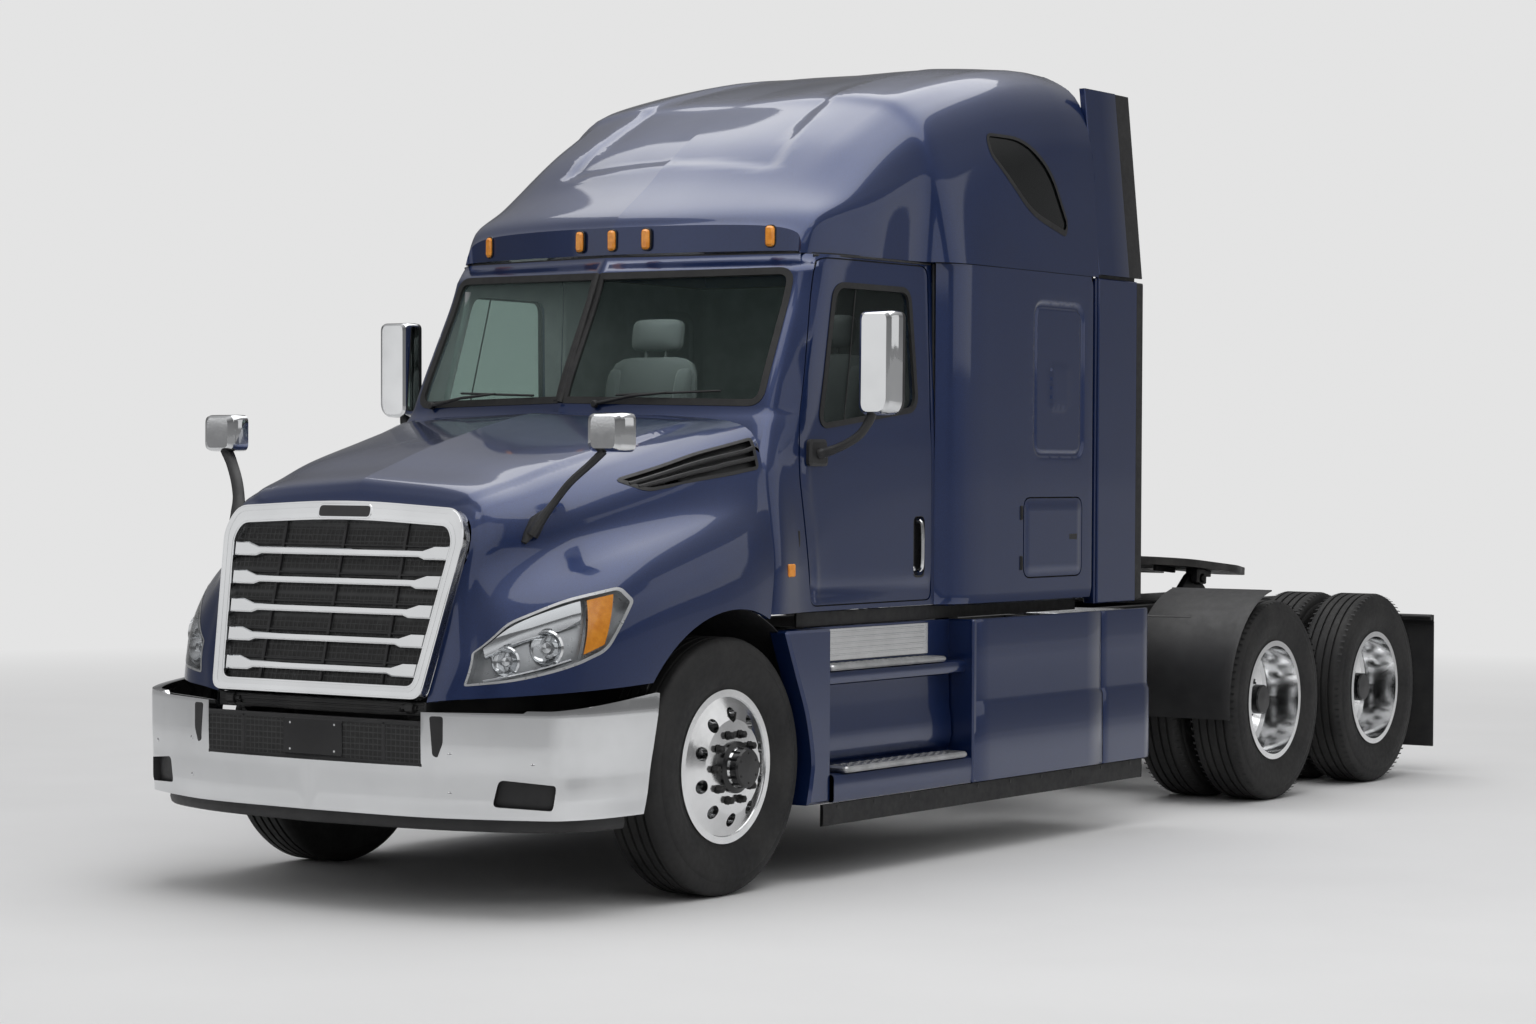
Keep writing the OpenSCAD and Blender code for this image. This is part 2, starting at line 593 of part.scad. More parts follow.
module bumper_insert() {
    color(black) placed() {
        box([-bumper_gap_x, -front_overhang + 36, 600], [bumper_gap_x, -front_overhang + 62, 782]);
        prism_z(345, 400, [[-1000, -1098], [-600, -1235], [0, -1290], [600, -1235], [1000, -1098],
            [1140, -900], [1165, -720], [1120, -720], [1090, -880], [970, -1050], [590, -1190], [0, -1245],
            [-590, -1190], [-970, -1050], [-1090, -880], [-1120, -720], [-1165, -720], [-1140, -900]]);
        // Brackets on the ends of the rails
        both_sides() box([rail_x - 80, -front_overhang + 62, 620], [rail_x - 10, rail_front + 120, rail_low]);
    }
}

// ---------------------------------------------------------------- chassis
tow_hole_r = 11;
tow_spacing = [160, 90];
module frame() {
    rear_cross = tail_y - 100;
    color(black) placed() difference() {
        union() {
            both_sides() difference() {
                box([rail_x - rail_flange, rail_front, rail_low], [rail_x, rear_cross, rail_top]);
                box([rail_x - rail_flange - 1, rail_front - 1, rail_low + rail_t],
                    [rail_x - rail_t, rear_cross + 1, rail_top - rail_t]);
            }
            for (y = [-1100, 2050, 3560, 4480, wheelbase - 40])
                box([-rail_x + rail_t, y, rail_top - 120], [rail_x - rail_t, y + 60, rail_top - 20]);
            box([-rail_x + rail_t, rear_cross - 60, rail_low + 20], [rail_x - rail_t, rear_cross, rail_top - 20]);
            // Cab mounts
            for (y = [440, 3000]) both_sides() box([rail_x - 80, y, rail_top], [rail_x, y + 90, cab_z]);
            // Bracket and pin of the hood's hinge
            both_sides() {
                prism_x(rail_x, rail_x + 22, [for (p = [[-18, -8], [13, 15], [180, 10], [180, -50], [60, -95]])
                    [p[0] - hood_pivot_y, p[1] + hood_pivot_z]]);
                bar_x(rail_x + 10, hood_lug_x[1] + 12, hood_pin_r, -hood_pivot_y, hood_pivot_z);
            }
            // Bars that carry the side fairings
            both_sides() {
                box([rail_x - 5, recess_y[1] + 2, 1000], [recess_x, recess_y[1] + 38, rail_top]);
                box([rail_x - 5, 3560, 1000], [skirt_x - 40, 3596, rail_top]);
            }
            // Spring hangers over the front axle
            both_sides() for (y = [-760, 700])
                box([spring_x[0], y, spring_top], [spring_x[1], y + 60, rail_low]);
        }
        // Holes for a tow hitch in the rear cross member
        for (x = [-1, 1]) for (z = [-1, 1])
            translate([x * tow_spacing[0] / 2, rear_cross - 70, rail_top - rail_h / 2 + z * tow_spacing[1] / 2])
                rotate([-90, 0, 0]) cylinder(r = tow_hole_r, h = 80);
    }
}
boss_r = 45;
boss_half = 55;
kingpin_r = 22;
spring_x = [rail_x - 80, rail_x - 10];
spring_top = 700;
module front_axle() {
    reach = kingpin_x - 25;
    top = [[-reach, 48], [-800, 48], [-640, -42], [640, -42], [800, 48], [reach, 48]];
    low = [[reach, -48], [800, -52], [640, -140], [-640, -140], [-800, -52], [-reach, -48]];
    color(black) placed() difference() {
        union() {
            translate([0, 0, axle_z]) prism_y(-36, 36, concat(top, low));
            both_sides() {
                translate([kingpin_x, 0, axle_z - boss_half]) cylinder(r = boss_r, h = 2 * boss_half);
                // Leaf spring from hanger to hanger, and its seat on the beam
                difference() {
                    translate([spring_x[0], 0, 1880]) rotate([0, 90, 0]) difference() {
                        cylinder(r = 1380, h = spring_x[1] - spring_x[0], $fn = fine);
                        translate([0, 0, -1]) cylinder(r = 1325, h = spring_x[1] - spring_x[0] + 2, $fn = fine);
                    }
                    box([0, -1500, spring_top], [1000, 1500, 3400]);
                    box([0, 760, 0], [1000, 1500, 3400]);
                    box([0, -1500, 0], [1000, -760, 3400]);
                }
                box([spring_x[0] - 10, -70, axle_z - 60], [spring_x[1] + 10, 70, axle_z - 20]);
            }
        }
        both_sides() translate([kingpin_x, 0, axle_z - boss_half - 1])
            cylinder(r = kingpin_r + pin_gap, h = 2 * boss_half + 2);
    }
}
yoke_gap = 6;
arm_end = [kingpin_x, 205, 395];
module knuckle() {
    spindle_end = front_x + 110;
    color(steel) {
        for (side = [-1, 1]) translate([kingpin_x, 0, axle_z + side * (boss_half + yoke_gap + 25)])
            translate([0, 0, -25]) cylinder(r = boss_r, h = 50);
        translate([kingpin_x, 0, axle_z - boss_half - 40]) cylinder(r = kingpin_r, h = 2 * boss_half + 80);
        difference() {
            box([kingpin_x, -boss_r, axle_z - boss_half - yoke_gap - 50],
                [kingpin_x + 60, boss_r, axle_z + boss_half + yoke_gap + 50]);
            translate([kingpin_x, 0, axle_z - boss_half - yoke_gap])
                cylinder(r = boss_r + 8, h = 2 * (boss_half + yoke_gap));
        }
        bar_x(kingpin_x + 55, spindle_end, spindle_r, 0, axle_z);
        // Steering arm down to the tie rod
        rod([kingpin_x, 0, axle_z - boss_half - yoke_gap - 30], arm_end + [0, 0, 34], 17);
        translate(arm_end + [0, 0, 20]) cylinder(r = 24, h = 30);
        translate(arm_end + [0, 0, -22]) cylinder(r = 10, h = 50);
    }
}
module knuckle_left() { placed() knuckle(); }
module knuckle_right() { placed() mirror([1, 0, 0]) knuckle(); }
module tie_rod() {
    color(black) placed() difference() {
        union() {
            rod([-arm_end[0], arm_end[1], arm_end[2]], arm_end, 16);
            both_sides() translate(arm_end - [0, 0, 18]) cylinder(r = 26, h = 32);
        }
        both_sides() translate(arm_end - [0, 0, 40]) cylinder(r = 10 + tie_gap, h = 80);
    }
}
// Flanges of the drive axles, where the propeller shafts bolt on
flange_reach = 240;
module bar_y(y0, y1, r, z) { translate([0, y0, z]) rotate([-90, 0, 0]) cylinder(r = r, h = y1 - y0); }
module drive_axles() {
    spindle_end = rear_x + 20;
    color(black) placed() for (y = drive_y) {
        bar_x(-610, 610, 72, y, axle_z);
        bar_x(-spindle_end, spindle_end, spindle_r, y, axle_z);
        bar_y(y - 95, y + 105, 205, axle_z);
        bar_x(-120, 120, 150, y - 60, axle_z + 60);
        bar_y(y - flange_reach, y + flange_reach, 62, axle_z + 60);
        // Air springs and their brackets up to the rails
        both_sides() {
            translate([rail_x - 60, y + 190, rail_low - 178]) cylinder(r = 110, h = 178);
            box([rail_x - 120, y - 250, axle_z - 118], [rail_x, y + 300, axle_z - 60]);
            box([rail_x - 60, y - 250, axle_z - 118], [rail_x, y - 190, rail_low]);
            box([rail_x - 105, y + 150, axle_z - 118], [rail_x - 15, y + 230, rail_low - 170]);
        }
    }
}
module engine() {
    color(steel) placed() {
        box([-300, -780, 620], [300, 270, 1660]);
        box([-300, -780, 620], [300, 640, 1080]);
        both_sides() box([300, -260, 780], [rail_x - rail_flange, -120, 860]);
    }
}
module driveline() {
    color(steel) placed() {
        box([-220, 640, 640], [220, 1560, 1060]);
        rod([0, 1540, 840], [0, drive_y[0] - 290, axle_z + 60], 55);
        bar_y(drive_y[0] - 310, drive_y[0] - flange_reach, 62, axle_z + 60);
        bar_y(drive_y[0] + flange_reach, drive_y[1] - flange_reach, 45, axle_z + 60);
    }
}
module radiator() {
    color(black) placed() {
        box([-480, -1010, rail_top], [480, -890, 1500]);
        box([-rail_x + rail_flange + 10, -1010, 720], [rail_x - rail_flange - 10, -890, rail_top]);
    }
}
fender_in = 620;
module quarter_fenders() {
    y = drive_y[0];
    thick = 8;
    color(black) placed() both_sides() {
        difference() {
            bar_x(fender_in, 1235, tyre_r + 62 + thick, y, axle_z, fine);
            bar_x(fender_in - 1, 1236, tyre_r + 62, y, axle_z, fine);
            box([0, y - 120, 0], [1300, y + 900, 1400]);
            box([0, y - 900, -200], [1300, y + 900, axle_z - 70]);
        }
        // Bracket from the rail
        box([rail_x, y - 420, rail_top - 70], [fender_in + 300, y - 380, rail_top - 30]);
    }
}
module mud_flaps() {
    color(black) placed() both_sides() {
        box([640, tail_y - 14, 150], [1236, tail_y, 905]);
        box([rail_x - 5, tail_y - 100, 905], [1240, tail_y - 4, 945]);
        box([rail_x - rail_t, tail_y - 100, rail_low + 30], [rail_x, tail_y - 20, rail_top - 10]);
    }
}

// ---------------------------------------------------------------- fifth wheel
plate_y = wheelbase + 70;
plate_pivot_z = rail_top + 130;
saddle_x = 350;
plate_front = 500;
plate_rear = 620;
plate_top = 100;
pivot_r = 20;
module fifth_wheel_base() {
    color(black) placed() {
        box([-rail_x - 40, plate_y - 420, rail_top], [rail_x + 40, plate_y + 420, rail_top + 18]);
        both_sides() {
            difference() {
                prism_x(saddle_x - 60, saddle_x - 15, [[plate_y - 230, rail_top + 18], [plate_y - 45, plate_pivot_z + 26],
                    [plate_y + 45, plate_pivot_z + 26], [plate_y + 230, rail_top + 18]]);
                bar_x(saddle_x - 70, saddle_x - 10, pivot_r - 2, plate_y, plate_pivot_z);
            }
            bar_x(saddle_x - 60, saddle_x + 50, pivot_r, plate_y, plate_pivot_z);
        }
    }
}
module fifth_wheel_plate() {
    outline = concat(
        [for (a = [180:15:360]) [plate_w / 2 * cos(a), -plate_front + 330 + 330 * sin(a)]],
        [[plate_w / 2, 330], [plate_w / 2 - 90, plate_rear], [175, plate_rear], [32, 130], [32, 60]],
        [[-32, 60], [-32, 130], [-175, plate_rear], [-plate_w / 2 + 90, plate_rear], [-plate_w / 2, 330]]);
    color(black) placed() translate([0, plate_y, plate_pivot_z]) rotate([-plate_lean, 0, 0]) difference() {
        union() {
            prism_z(plate_top - plate_t, plate_top, outline);
            both_sides() {
                box([saddle_x - 8, -60, -30], [saddle_x + 40, 60, plate_top - plate_t]);
                box([saddle_x - 130, -plate_front + 200, plate_top - plate_t - 30],
                    [saddle_x - 100, -60, plate_top - plate_t]);
            }
        }
        translate([0, 0, plate_top - plate_t - 1]) cylinder(r = lock_r, h = plate_t + 2);
        box([-18, 0, plate_top - plate_t - 1], [18, 100, plate_top + 1]);
        both_sides() bar_x(saddle_x - 20, saddle_x + 60, pivot_r + pin_gap, 0, 0);
    }
}

// ---------------------------------------------------------------- wheels
// Outlines as [radius, distance from the tyre's middle plane]
bead_gap = 0.3;
function tyre_outline() = let (w = tyre_w / 2, b = seat_r + bead_gap) [
    [b, -w + 36], [b + 16, -w + 34], [b + 36, -w + 22], [b + 90, -w + 4], [b + 130, -w], [tyre_r - 54, -w + 5],
    [tyre_r - 24, -w + 12], [tyre_r - 8, -w + 25], [tyre_r, -w + 42],
    [tyre_r, w - 42], [tyre_r - 8, w - 25], [tyre_r - 24, w - 12], [tyre_r - 54, w - 5], [b + 130, w],
    [b + 90, w - 4], [b + 36, w - 22], [b + 16, w - 34], [b, w - 36],
    [b, w - 56], [b + 40, w - 42], [b + 120, w - 22], [tyre_r - 60, w - 24], [tyre_r - 28, w - 50],
    [tyre_r - 28, -w + 50], [tyre_r - 60, -w + 24], [b + 120, -w + 22], [b + 40, -w + 42], [b, -w + 56]];
rim_half = 117;
rim_t = 16;
flange_h = 13;
// Barrel with its flanges
function barrel_outline() = let (s = seat_r, h = rim_half) [
    [s - rim_t, -h], [s + flange_h, -h], [s + flange_h, -h + 11], [s, -h + 11], [s, h - 11], [s + flange_h, h - 11],
    [s + flange_h, h], [s - rim_t, h]];
bolt_circle = 142.9;
hand_hole_r = 29;
hand_hole_at = 222;
hub_r = 108;
module hand_holes(x0, x1) {
    for (i = [0:9]) rotate([i * 36 + 18, 0, 0]) bar_x(x0, x1, hand_hole_r, hand_hole_at, 0);
}
module front_rim() {
    s = seat_r - rim_t;
    face = 150;
    disc = [[s + 2, rim_half - 30], [s + 2, rim_half - 6], [s - 25, rim_half + 4], [s - 95, face], [hub_r - 1, face + 6],
        [hub_r - 1, face - 16], [s - 105, face - 22], [s - 40, rim_half - 20]];
    difference() {
        union() {
            turned_x(barrel_outline());
            turned_x(disc);
            // Hub and brake drum
            turned_x([[0, -45], [hub_r, -45], [hub_r, face + 20], [88, face + 26], [82, face + 72], [0, face + 80]]);
            turned_x([[hub_r - 2, 40], [198, 40], [198, -52], [212, -52], [212, 56], [hub_r - 2, 56]]);
        }
        hand_holes(60, 200);
        bar_x(-60, 115, spindle_r + spindle_gap, 0, 0);
    }
}
module dual_rims() {
    s = seat_r - rim_t;
    half = dual / 2;
    outer_disc = [[s + 2, half - 100], [s + 2, half - 74], [s - 30, half - 84], [s - 70, 28], [hub_r - 1, 24],
        [hub_r - 1, 0], [s - 66, 0], [s - 28, half - 104]];
    difference() {
        union() {
            for (side = [-1, 1]) scale([side, 1, 1]) {
                translate([half, 0, 0]) turned_x(barrel_outline());
                turned_x(outer_disc);
            }
            turned_x([[0, -250], [hub_r, -250], [hub_r, 120], [84, 130], [78, 215], [0, 220]]);
            turned_x([[hub_r - 2, -36], [205, -36], [205, -250], [218, -250], [218, -20], [hub_r - 2, -20]]);
        }
        hand_holes(-60, 60);
        bar_x(-260, half + 25, spindle_r + spindle_gap, 0, 0);
    }
}
module at_front() { placed() translate([front_x, 0, axle_z]) children(); }
module at_rear(i) { placed() translate([rear_x - dual / 2, drive_y[i], axle_z]) children(); }
module twin_tyres() { for (side = [-1, 1]) translate([side * dual / 2, 0, 0]) turned_x(tyre_outline()); }
module right() { mirror([1, 0, 0]) children(); }

module front_tyre_left() { color(black) at_front() turned_x(tyre_outline()); }
module front_tyre_right() { color(black) right() at_front() turned_x(tyre_outline()); }
module front_rim_left() { color(chrome) at_front() front_rim(); }
module front_rim_right() { color(chrome) right() at_front() front_rim(); }
module rear_tyres_left_1() { color(black) at_rear(0) twin_tyres(); }
module rear_tyres_right_1() { color(black) right() at_rear(0) twin_tyres(); }
module rear_tyres_left_2() { color(black) at_rear(1) twin_tyres(); }
module rear_tyres_right_2() { color(black) right() at_rear(1) twin_tyres(); }
module rear_rims_left_1() { color(chrome) at_rear(0) dual_rims(); }
module rear_rims_right_1() { color(chrome) right() at_rear(0) dual_rims(); }
module rear_rims_left_2() { color(chrome) at_rear(1) dual_rims(); }
module rear_rims_right_2() { color(chrome) right() at_rear(1) dual_rims(); }

frame();
front_axle();
drive_axles();
engine();
driveline();
radiator();
fuel_tanks();
underbody_boxes();
bumper();
bumper_insert();
cab_shell();
windshield();
dashboard();
seats();
bunk();
sleeper_shell();
roof_cap();
roof_windows();
side_extenders();
rubber_edges();
side_fairings();
steps();
deck_plate();
quarter_fenders();
mud_flaps();
fifth_wheel_base();
fifth_wheel_plate();
hood_shell();
grille();
headlights();
hood_mirrors();
door_left();
door_right();
door_glass_left();
door_glass_right();
door_mirror_left();
door_mirror_right();
luggage_door_left();
luggage_door_right();
knuckle_left();
knuckle_right();
tie_rod();
front_tyre_left();
front_tyre_right();
front_rim_left();
front_rim_right();
rear_tyres_left_1();
rear_tyres_right_1();
rear_tyres_left_2();
rear_tyres_right_2();
rear_rims_left_1();
rear_rims_right_1();
rear_rims_left_2();
rear_rims_right_2();
steering_wheel();
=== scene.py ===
"""The look of a conventional road tractor with a raised-roof sleeper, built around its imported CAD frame.

Lengths in the shape code are millimetres from the front axle line: x to the truck's left, y to the rear, z up.
"""
import math

import bpy
from mathutils import Matrix, Vector
from mathutils.geometry import delaunay_2d_cdt


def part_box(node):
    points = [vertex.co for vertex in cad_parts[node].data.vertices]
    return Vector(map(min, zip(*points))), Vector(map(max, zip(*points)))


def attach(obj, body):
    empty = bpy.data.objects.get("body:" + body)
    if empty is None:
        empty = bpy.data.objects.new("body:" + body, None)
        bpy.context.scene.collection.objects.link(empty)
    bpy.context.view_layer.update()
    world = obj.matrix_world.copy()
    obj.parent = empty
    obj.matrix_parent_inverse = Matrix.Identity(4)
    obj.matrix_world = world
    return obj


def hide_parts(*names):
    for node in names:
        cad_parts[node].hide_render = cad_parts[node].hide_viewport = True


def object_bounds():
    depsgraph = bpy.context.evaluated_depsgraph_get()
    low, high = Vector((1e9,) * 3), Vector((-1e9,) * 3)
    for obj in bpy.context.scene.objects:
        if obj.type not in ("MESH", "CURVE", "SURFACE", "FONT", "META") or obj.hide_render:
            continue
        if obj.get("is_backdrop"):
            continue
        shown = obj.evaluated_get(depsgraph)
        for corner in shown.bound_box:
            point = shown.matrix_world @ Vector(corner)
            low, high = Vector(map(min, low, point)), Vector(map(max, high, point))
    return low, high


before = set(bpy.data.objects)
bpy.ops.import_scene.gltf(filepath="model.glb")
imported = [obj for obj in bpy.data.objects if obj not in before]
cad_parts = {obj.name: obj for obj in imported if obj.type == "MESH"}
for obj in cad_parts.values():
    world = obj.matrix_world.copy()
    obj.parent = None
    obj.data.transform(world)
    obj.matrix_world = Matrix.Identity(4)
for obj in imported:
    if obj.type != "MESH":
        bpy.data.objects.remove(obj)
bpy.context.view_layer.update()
FRONT_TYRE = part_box("front_tyre_left")
Y0 = (FRONT_TYRE[0].y + FRONT_TYRE[1].y) / 2


# ---------------------------------------------------------------- camera
def make_camera():
    data = bpy.data.cameras.new("camera")
    data.lens, data.sensor_width, data.sensor_fit = 78.09, 36.0, "HORIZONTAL"
    data.clip_start, data.clip_end = 0.1, 200.0
    camera = bpy.data.objects.new("camera", data)
    bpy.context.scene.collection.objects.link(camera)
    yaw, pitch, roll = (math.radians(a) for a in (34.2347, -0.7671, 0.3126))
    ahead = Vector((-math.sin(yaw) * math.cos(pitch), math.cos(yaw) * math.cos(pitch), math.sin(pitch)))
    right = Vector((math.cos(yaw), math.sin(yaw), 0))
    up = right.cross(ahead)
    right, up = (right * math.cos(roll) + up * math.sin(roll), up * math.cos(roll) - right * math.sin(roll))
    camera.matrix_world = Matrix((
        (right.x, up.x, -ahead.x, 9.1514),
        (right.y, up.y, -ahead.y, -14.4312),
        (right.z, up.z, -ahead.z, 1.8001),
        (0, 0, 0, 1)))
    bpy.context.scene.camera = camera


make_camera()


# ---------------------------------------------------------------- shapes
def unit(v):
    n = math.sqrt(sum(c * c for c in v))
    return tuple(c / n for c in v) if n > 1e-12 else (0.0, 0.0, 1.0)


def mix(a, b, t):
    return tuple(p + (q - p) * t for p, q in zip(a, b))


def step(low, high, value):
    """0 below low, 1 above high, and a smooth rise between them."""
    t = min(1.0, max(0.0, (value - low) / (high - low)))
    return t * t * (3 - 2 * t)


def inside(point, outline):
    x, y = point
    found, j = False, len(outline) - 1
    for i in range(len(outline)):
        (xi, yi), (xj, yj) = outline[i], outline[j]
        if (yi > y) != (yj > y) and x < (xj - xi) * (y - yi) / (yj - yi) + xi:
            found = not found
        j = i
    return found


def edge_distance(point, outline):
    """Distance from an outline, positive inside it."""
    best = 1e18
    for i, b in enumerate(outline):
        a = outline[i - 1]
        dx, dy = b[0] - a[0], b[1] - a[1]
        t = ((point[0] - a[0]) * dx + (point[1] - a[1]) * dy) / max(dx * dx + dy * dy, 1e-9)
        t = min(1.0, max(0.0, t))
        best = min(best, math.hypot(point[0] - a[0] - t * dx, point[1] - a[1] - t * dy))
    return best if inside(point, outline) else -best


def rounded(points, t, width):
    """A point on a line through points, at index t, with each corner eased over its width."""
    last = len(points) - 1
    t = min(max(t, 0.0), float(last))
    i = int(round(t))
    w = width[i] if isinstance(width, (list, tuple)) else width
    if 0 < i < last and abs(t - i) < w:
        a, b, c = mix(points[i], points[i - 1], w), points[i], mix(points[i], points[i + 1], w)
        s = (t - i + w) / (2 * w)
        return mix(mix(a, b, s), mix(b, c, s), s)
    k = min(int(t), last - 1)
    return mix(points[k], points[k + 1], t - k)


def spline(points, t):
    """A point on a Catmull-Rom curve through points, at index t."""
    last = len(points) - 1
    t = min(max(t, 0.0), float(last))
    k = min(int(t), last - 1)
    s = t - k
    p1, p2 = points[k], points[k + 1]
    p0 = points[k - 1] if k else mix(p1, p2, -1)
    p3 = points[k + 2] if k + 2 <= last else mix(p2, p1, -1)
    return tuple(0.5 * (2 * b + (c - a) * s + (2 * a - 5 * b + 4 * c - d) * s * s
                        + (3 * b - 3 * c + d - a) * s ** 3) for a, b, c, d in zip(p0, p1, p2, p3))


def fillet(outline, radius, n=5):
    """A closed outline with rounded corners."""
    out = []
    count = len(outline)
    for i in range(count):
        a, b, c = outline[i - 1], outline[i], outline[(i + 1) % count]
        r = radius[i] if isinstance(radius, (list, tuple)) else radius
        la, lc = math.dist(a, b), math.dist(c, b)
        r = min(r, la * 0.45, lc * 0.45)
        if r < 0.5:
            out.append(tuple(b))
            continue
        p, q = mix(b, a, r / la), mix(b, c, r / lc)
        for k in range(n + 1):
            s = k / n
            out.append(mix(mix(p, b, s), mix(b, q, s), s))
    return out


def grown(outline, by):
    """An outline moved outward by a distance, for outlines without tight notches."""
    area = sum(a[0] * b[1] - b[0] * a[1] for a, b in zip(outline[-1:] + outline[:-1], outline))
    sign = 1 if area > 0 else -1
    out = []
    count = len(outline)
    for i in range(count):
        a, b, c = outline[i - 1], outline[i], outline[(i + 1) % count]
        n1 = unit(((b[1] - a[1]) * sign, -(b[0] - a[0]) * sign))
        n2 = unit(((c[1] - b[1]) * sign, -(c[0] - b[0]) * sign))
        m = unit((n1[0] + n2[0], n1[1] + n2[1]))
        k = by / max(0.5, m[0] * n1[0] + m[1] * n1[1])
        out.append((b[0] + m[0] * k, b[1] + m[1] * k))
    return out


def ring_points(centre, radius, n, start=0.0):
    return [(centre[0] + radius * math.cos(start + 2 * math.pi * i / n),
             centre[1] + radius * math.sin(start + 2 * math.pi * i / n)) for i in range(n)]


class Shape:
    """Faces gathered into one mesh, in millimetres from the front axle line."""

    def __init__(self):
        self.v, self.f, self.m, self.n = [], [], [], {}

    def add(self, verts, faces, mat=0, normals=None):
        base = len(self.v)
        self.v += [tuple(p) for p in verts]
        for k, face in enumerate(faces):
            if normals and normals[k]:
                self.n[len(self.f)] = normals[k]
            self.f.append([base + i for i in face])
            self.m.append(mat)
        return self

    def grid(self, rows, mat=0, closed=False, caps=False):
        """A sheet through rows of points; closed joins each row's ends, and caps fills the first and last rows."""
        n = len(rows[0])
        verts = [p for row in rows for p in row]
        wrap = n if closed else n - 1
        faces = [(k * n + i, k * n + (i + 1) % n, (k + 1) * n + (i + 1) % n, (k + 1) * n + i)
                 for k in range(len(rows) - 1) for i in range(wrap)]
        if caps:
            faces.append(tuple(range(n - 1, -1, -1)))
            faces.append(tuple(range((len(rows) - 1) * n, len(rows) * n)))
        return self.add(verts, faces, mat)

    def box(self, low, high, edge=3.0, mat=0):
        """A box with eased edges."""
        c = [(a + b) / 2 for a, b in zip(low, high)]
        h = [abs(b - a) / 2 for a, b in zip(low, high)]
        e = min([edge] + [x * 0.45 for x in h])
        verts, index = [], {}
        for sx in (-1, 1):
            for sy in (-1, 1):
                for sz in (-1, 1):
                    for axis in range(3):
                        p = [h[0] - e, h[1] - e, h[2] - e]
                        p[axis] = h[axis]
                        index[sx, sy, sz, axis] = len(verts)
                        verts.append((c[0] + sx * p[0], c[1] + sy * p[1], c[2] + sz * p[2]))
        faces = []
        for axis in range(3):
            u, w = (axis + 1) % 3, (axis + 2) % 3
            for s in (-1, 1):
                key = lambda a, b: index[tuple({axis: s, u: a, w: b}[k] for k in range(3)) + (axis,)]
                quad = [key(-1, -1), key(1, -1), key(1, 1), key(-1, 1)]
                faces.append(quad if s > 0 else quad[::-1])
        for axis in range(3):
            u, w = (axis + 1) % 3, (axis + 2) % 3
            for su in (-1, 1):
                for sw in (-1, 1):
                    key = lambda a, ax: index[tuple({axis: a, u: su, w: sw}[k] for k in range(3)) + (ax,)]
                    quad = [key(-1, u), key(1, u), key(1, w), key(-1, w)]
                    faces.append(quad[::-1] if su * sw > 0 else quad)
        for sx in (-1, 1):
            for sy in (-1, 1):
                for sz in (-1, 1):
                    tri = [index[sx, sy, sz, k] for k in range(3)]
                    faces.append(tri if sx * sy * sz > 0 else tri[::-1])
        return self.add(verts, faces, mat)

    def prism(self, outline, axis, a, b, edge=0.0, mat=0, at=None, holes=()):
        """An outline pushed along an axis from a to b. The outline is in the other two axes, in order."""
        area = sum(p[0] * q[1] - q[0] * p[1] for p, q in zip(outline[-1:] + outline[:-1], outline))
        if area < 0:
            outline = outline[::-1]
        a, b = min(a, b), max(a, b)
        u, w = [(1, 2), (0, 2), (0, 1)][axis]
        flip = axis == 1

        def place(p, along):
            q = [0, 0, 0]
            q[axis], q[u], q[w] = along, p[0], p[1]
            return tuple(q) if at is None else at(tuple(q))
        e = min(edge, (b - a) * 0.4)
        rows = [(grown(outline, -e), a), (outline, a + e), (outline, b - e), (grown(outline, -e), b)] if e > 0 else [
            (outline, a), (outline, b)]
        n = len(outline)
        verts = [place(p, z) for ring, z in rows for p in ring]
        faces = []
        for k in range(len(rows) - 1):
            for i in range(n):
                quad = (k * n + i, k * n + (i + 1) % n, (k + 1) * n + (i + 1) % n, (k + 1) * n + i)
                faces.append(quad[::-1] if flip else quad)
        last = (len(rows) - 1) * n
        if not holes:
            low, high = tuple(range(n - 1, -1, -1)), tuple(range(last, last + n))
            faces += [low[::-1], high[::-1]] if flip else [low, high]
            return self.add(verts, faces, mat)
        self.add(verts, faces, mat)
        loops = [rows[-1][0]] + [list(h) for h in holes]
        flat, edges = [], []
        for loop in loops:
            base = len(flat)
            flat += [Vector(p) for p in loop]
            edges += [(base + i, base + (i + 1) % len(loop)) for i in range(len(loop))]
        vs, _, fs, *_ = delaunay_2d_cdt(flat, edges, [], 0, 1e-6)
        keep = []
        for tri in fs:
            m = (sum(vs[i].x for i in tri) / 3, sum(vs[i].y for i in tri) / 3)
            if inside(m, loops[0]) and not any(inside(m, h) for h in loops[1:]):
                area = sum(vs[tri[i - 1]].x * vs[tri[i]].y - vs[tri[i]].x * vs[tri[i - 1]].y for i in range(3))
                keep.append(tri if area > 0 else tri[::-1])
        for z, up in ((a, False), (b, True)):
            self.add([place((p.x, p.y), z) for p in vs], [t if up != flip else t[::-1] for t in keep], mat)
        for hole in loops[1:]:
            m = len(hole)
            area = sum(p[0] * q[1] - q[0] * p[1] for p, q in zip(hole[-1:] + hole[:-1], hole))
            quads = [(i, (i + 1) % m, m + (i + 1) % m, m + i) for i in range(m)]
            if (area > 0) != flip:
                quads = [q[::-1] for q in quads]
            self.add([place(p, a) for p in hole] + [place(p, b) for p in hole], quads, mat)
        return self

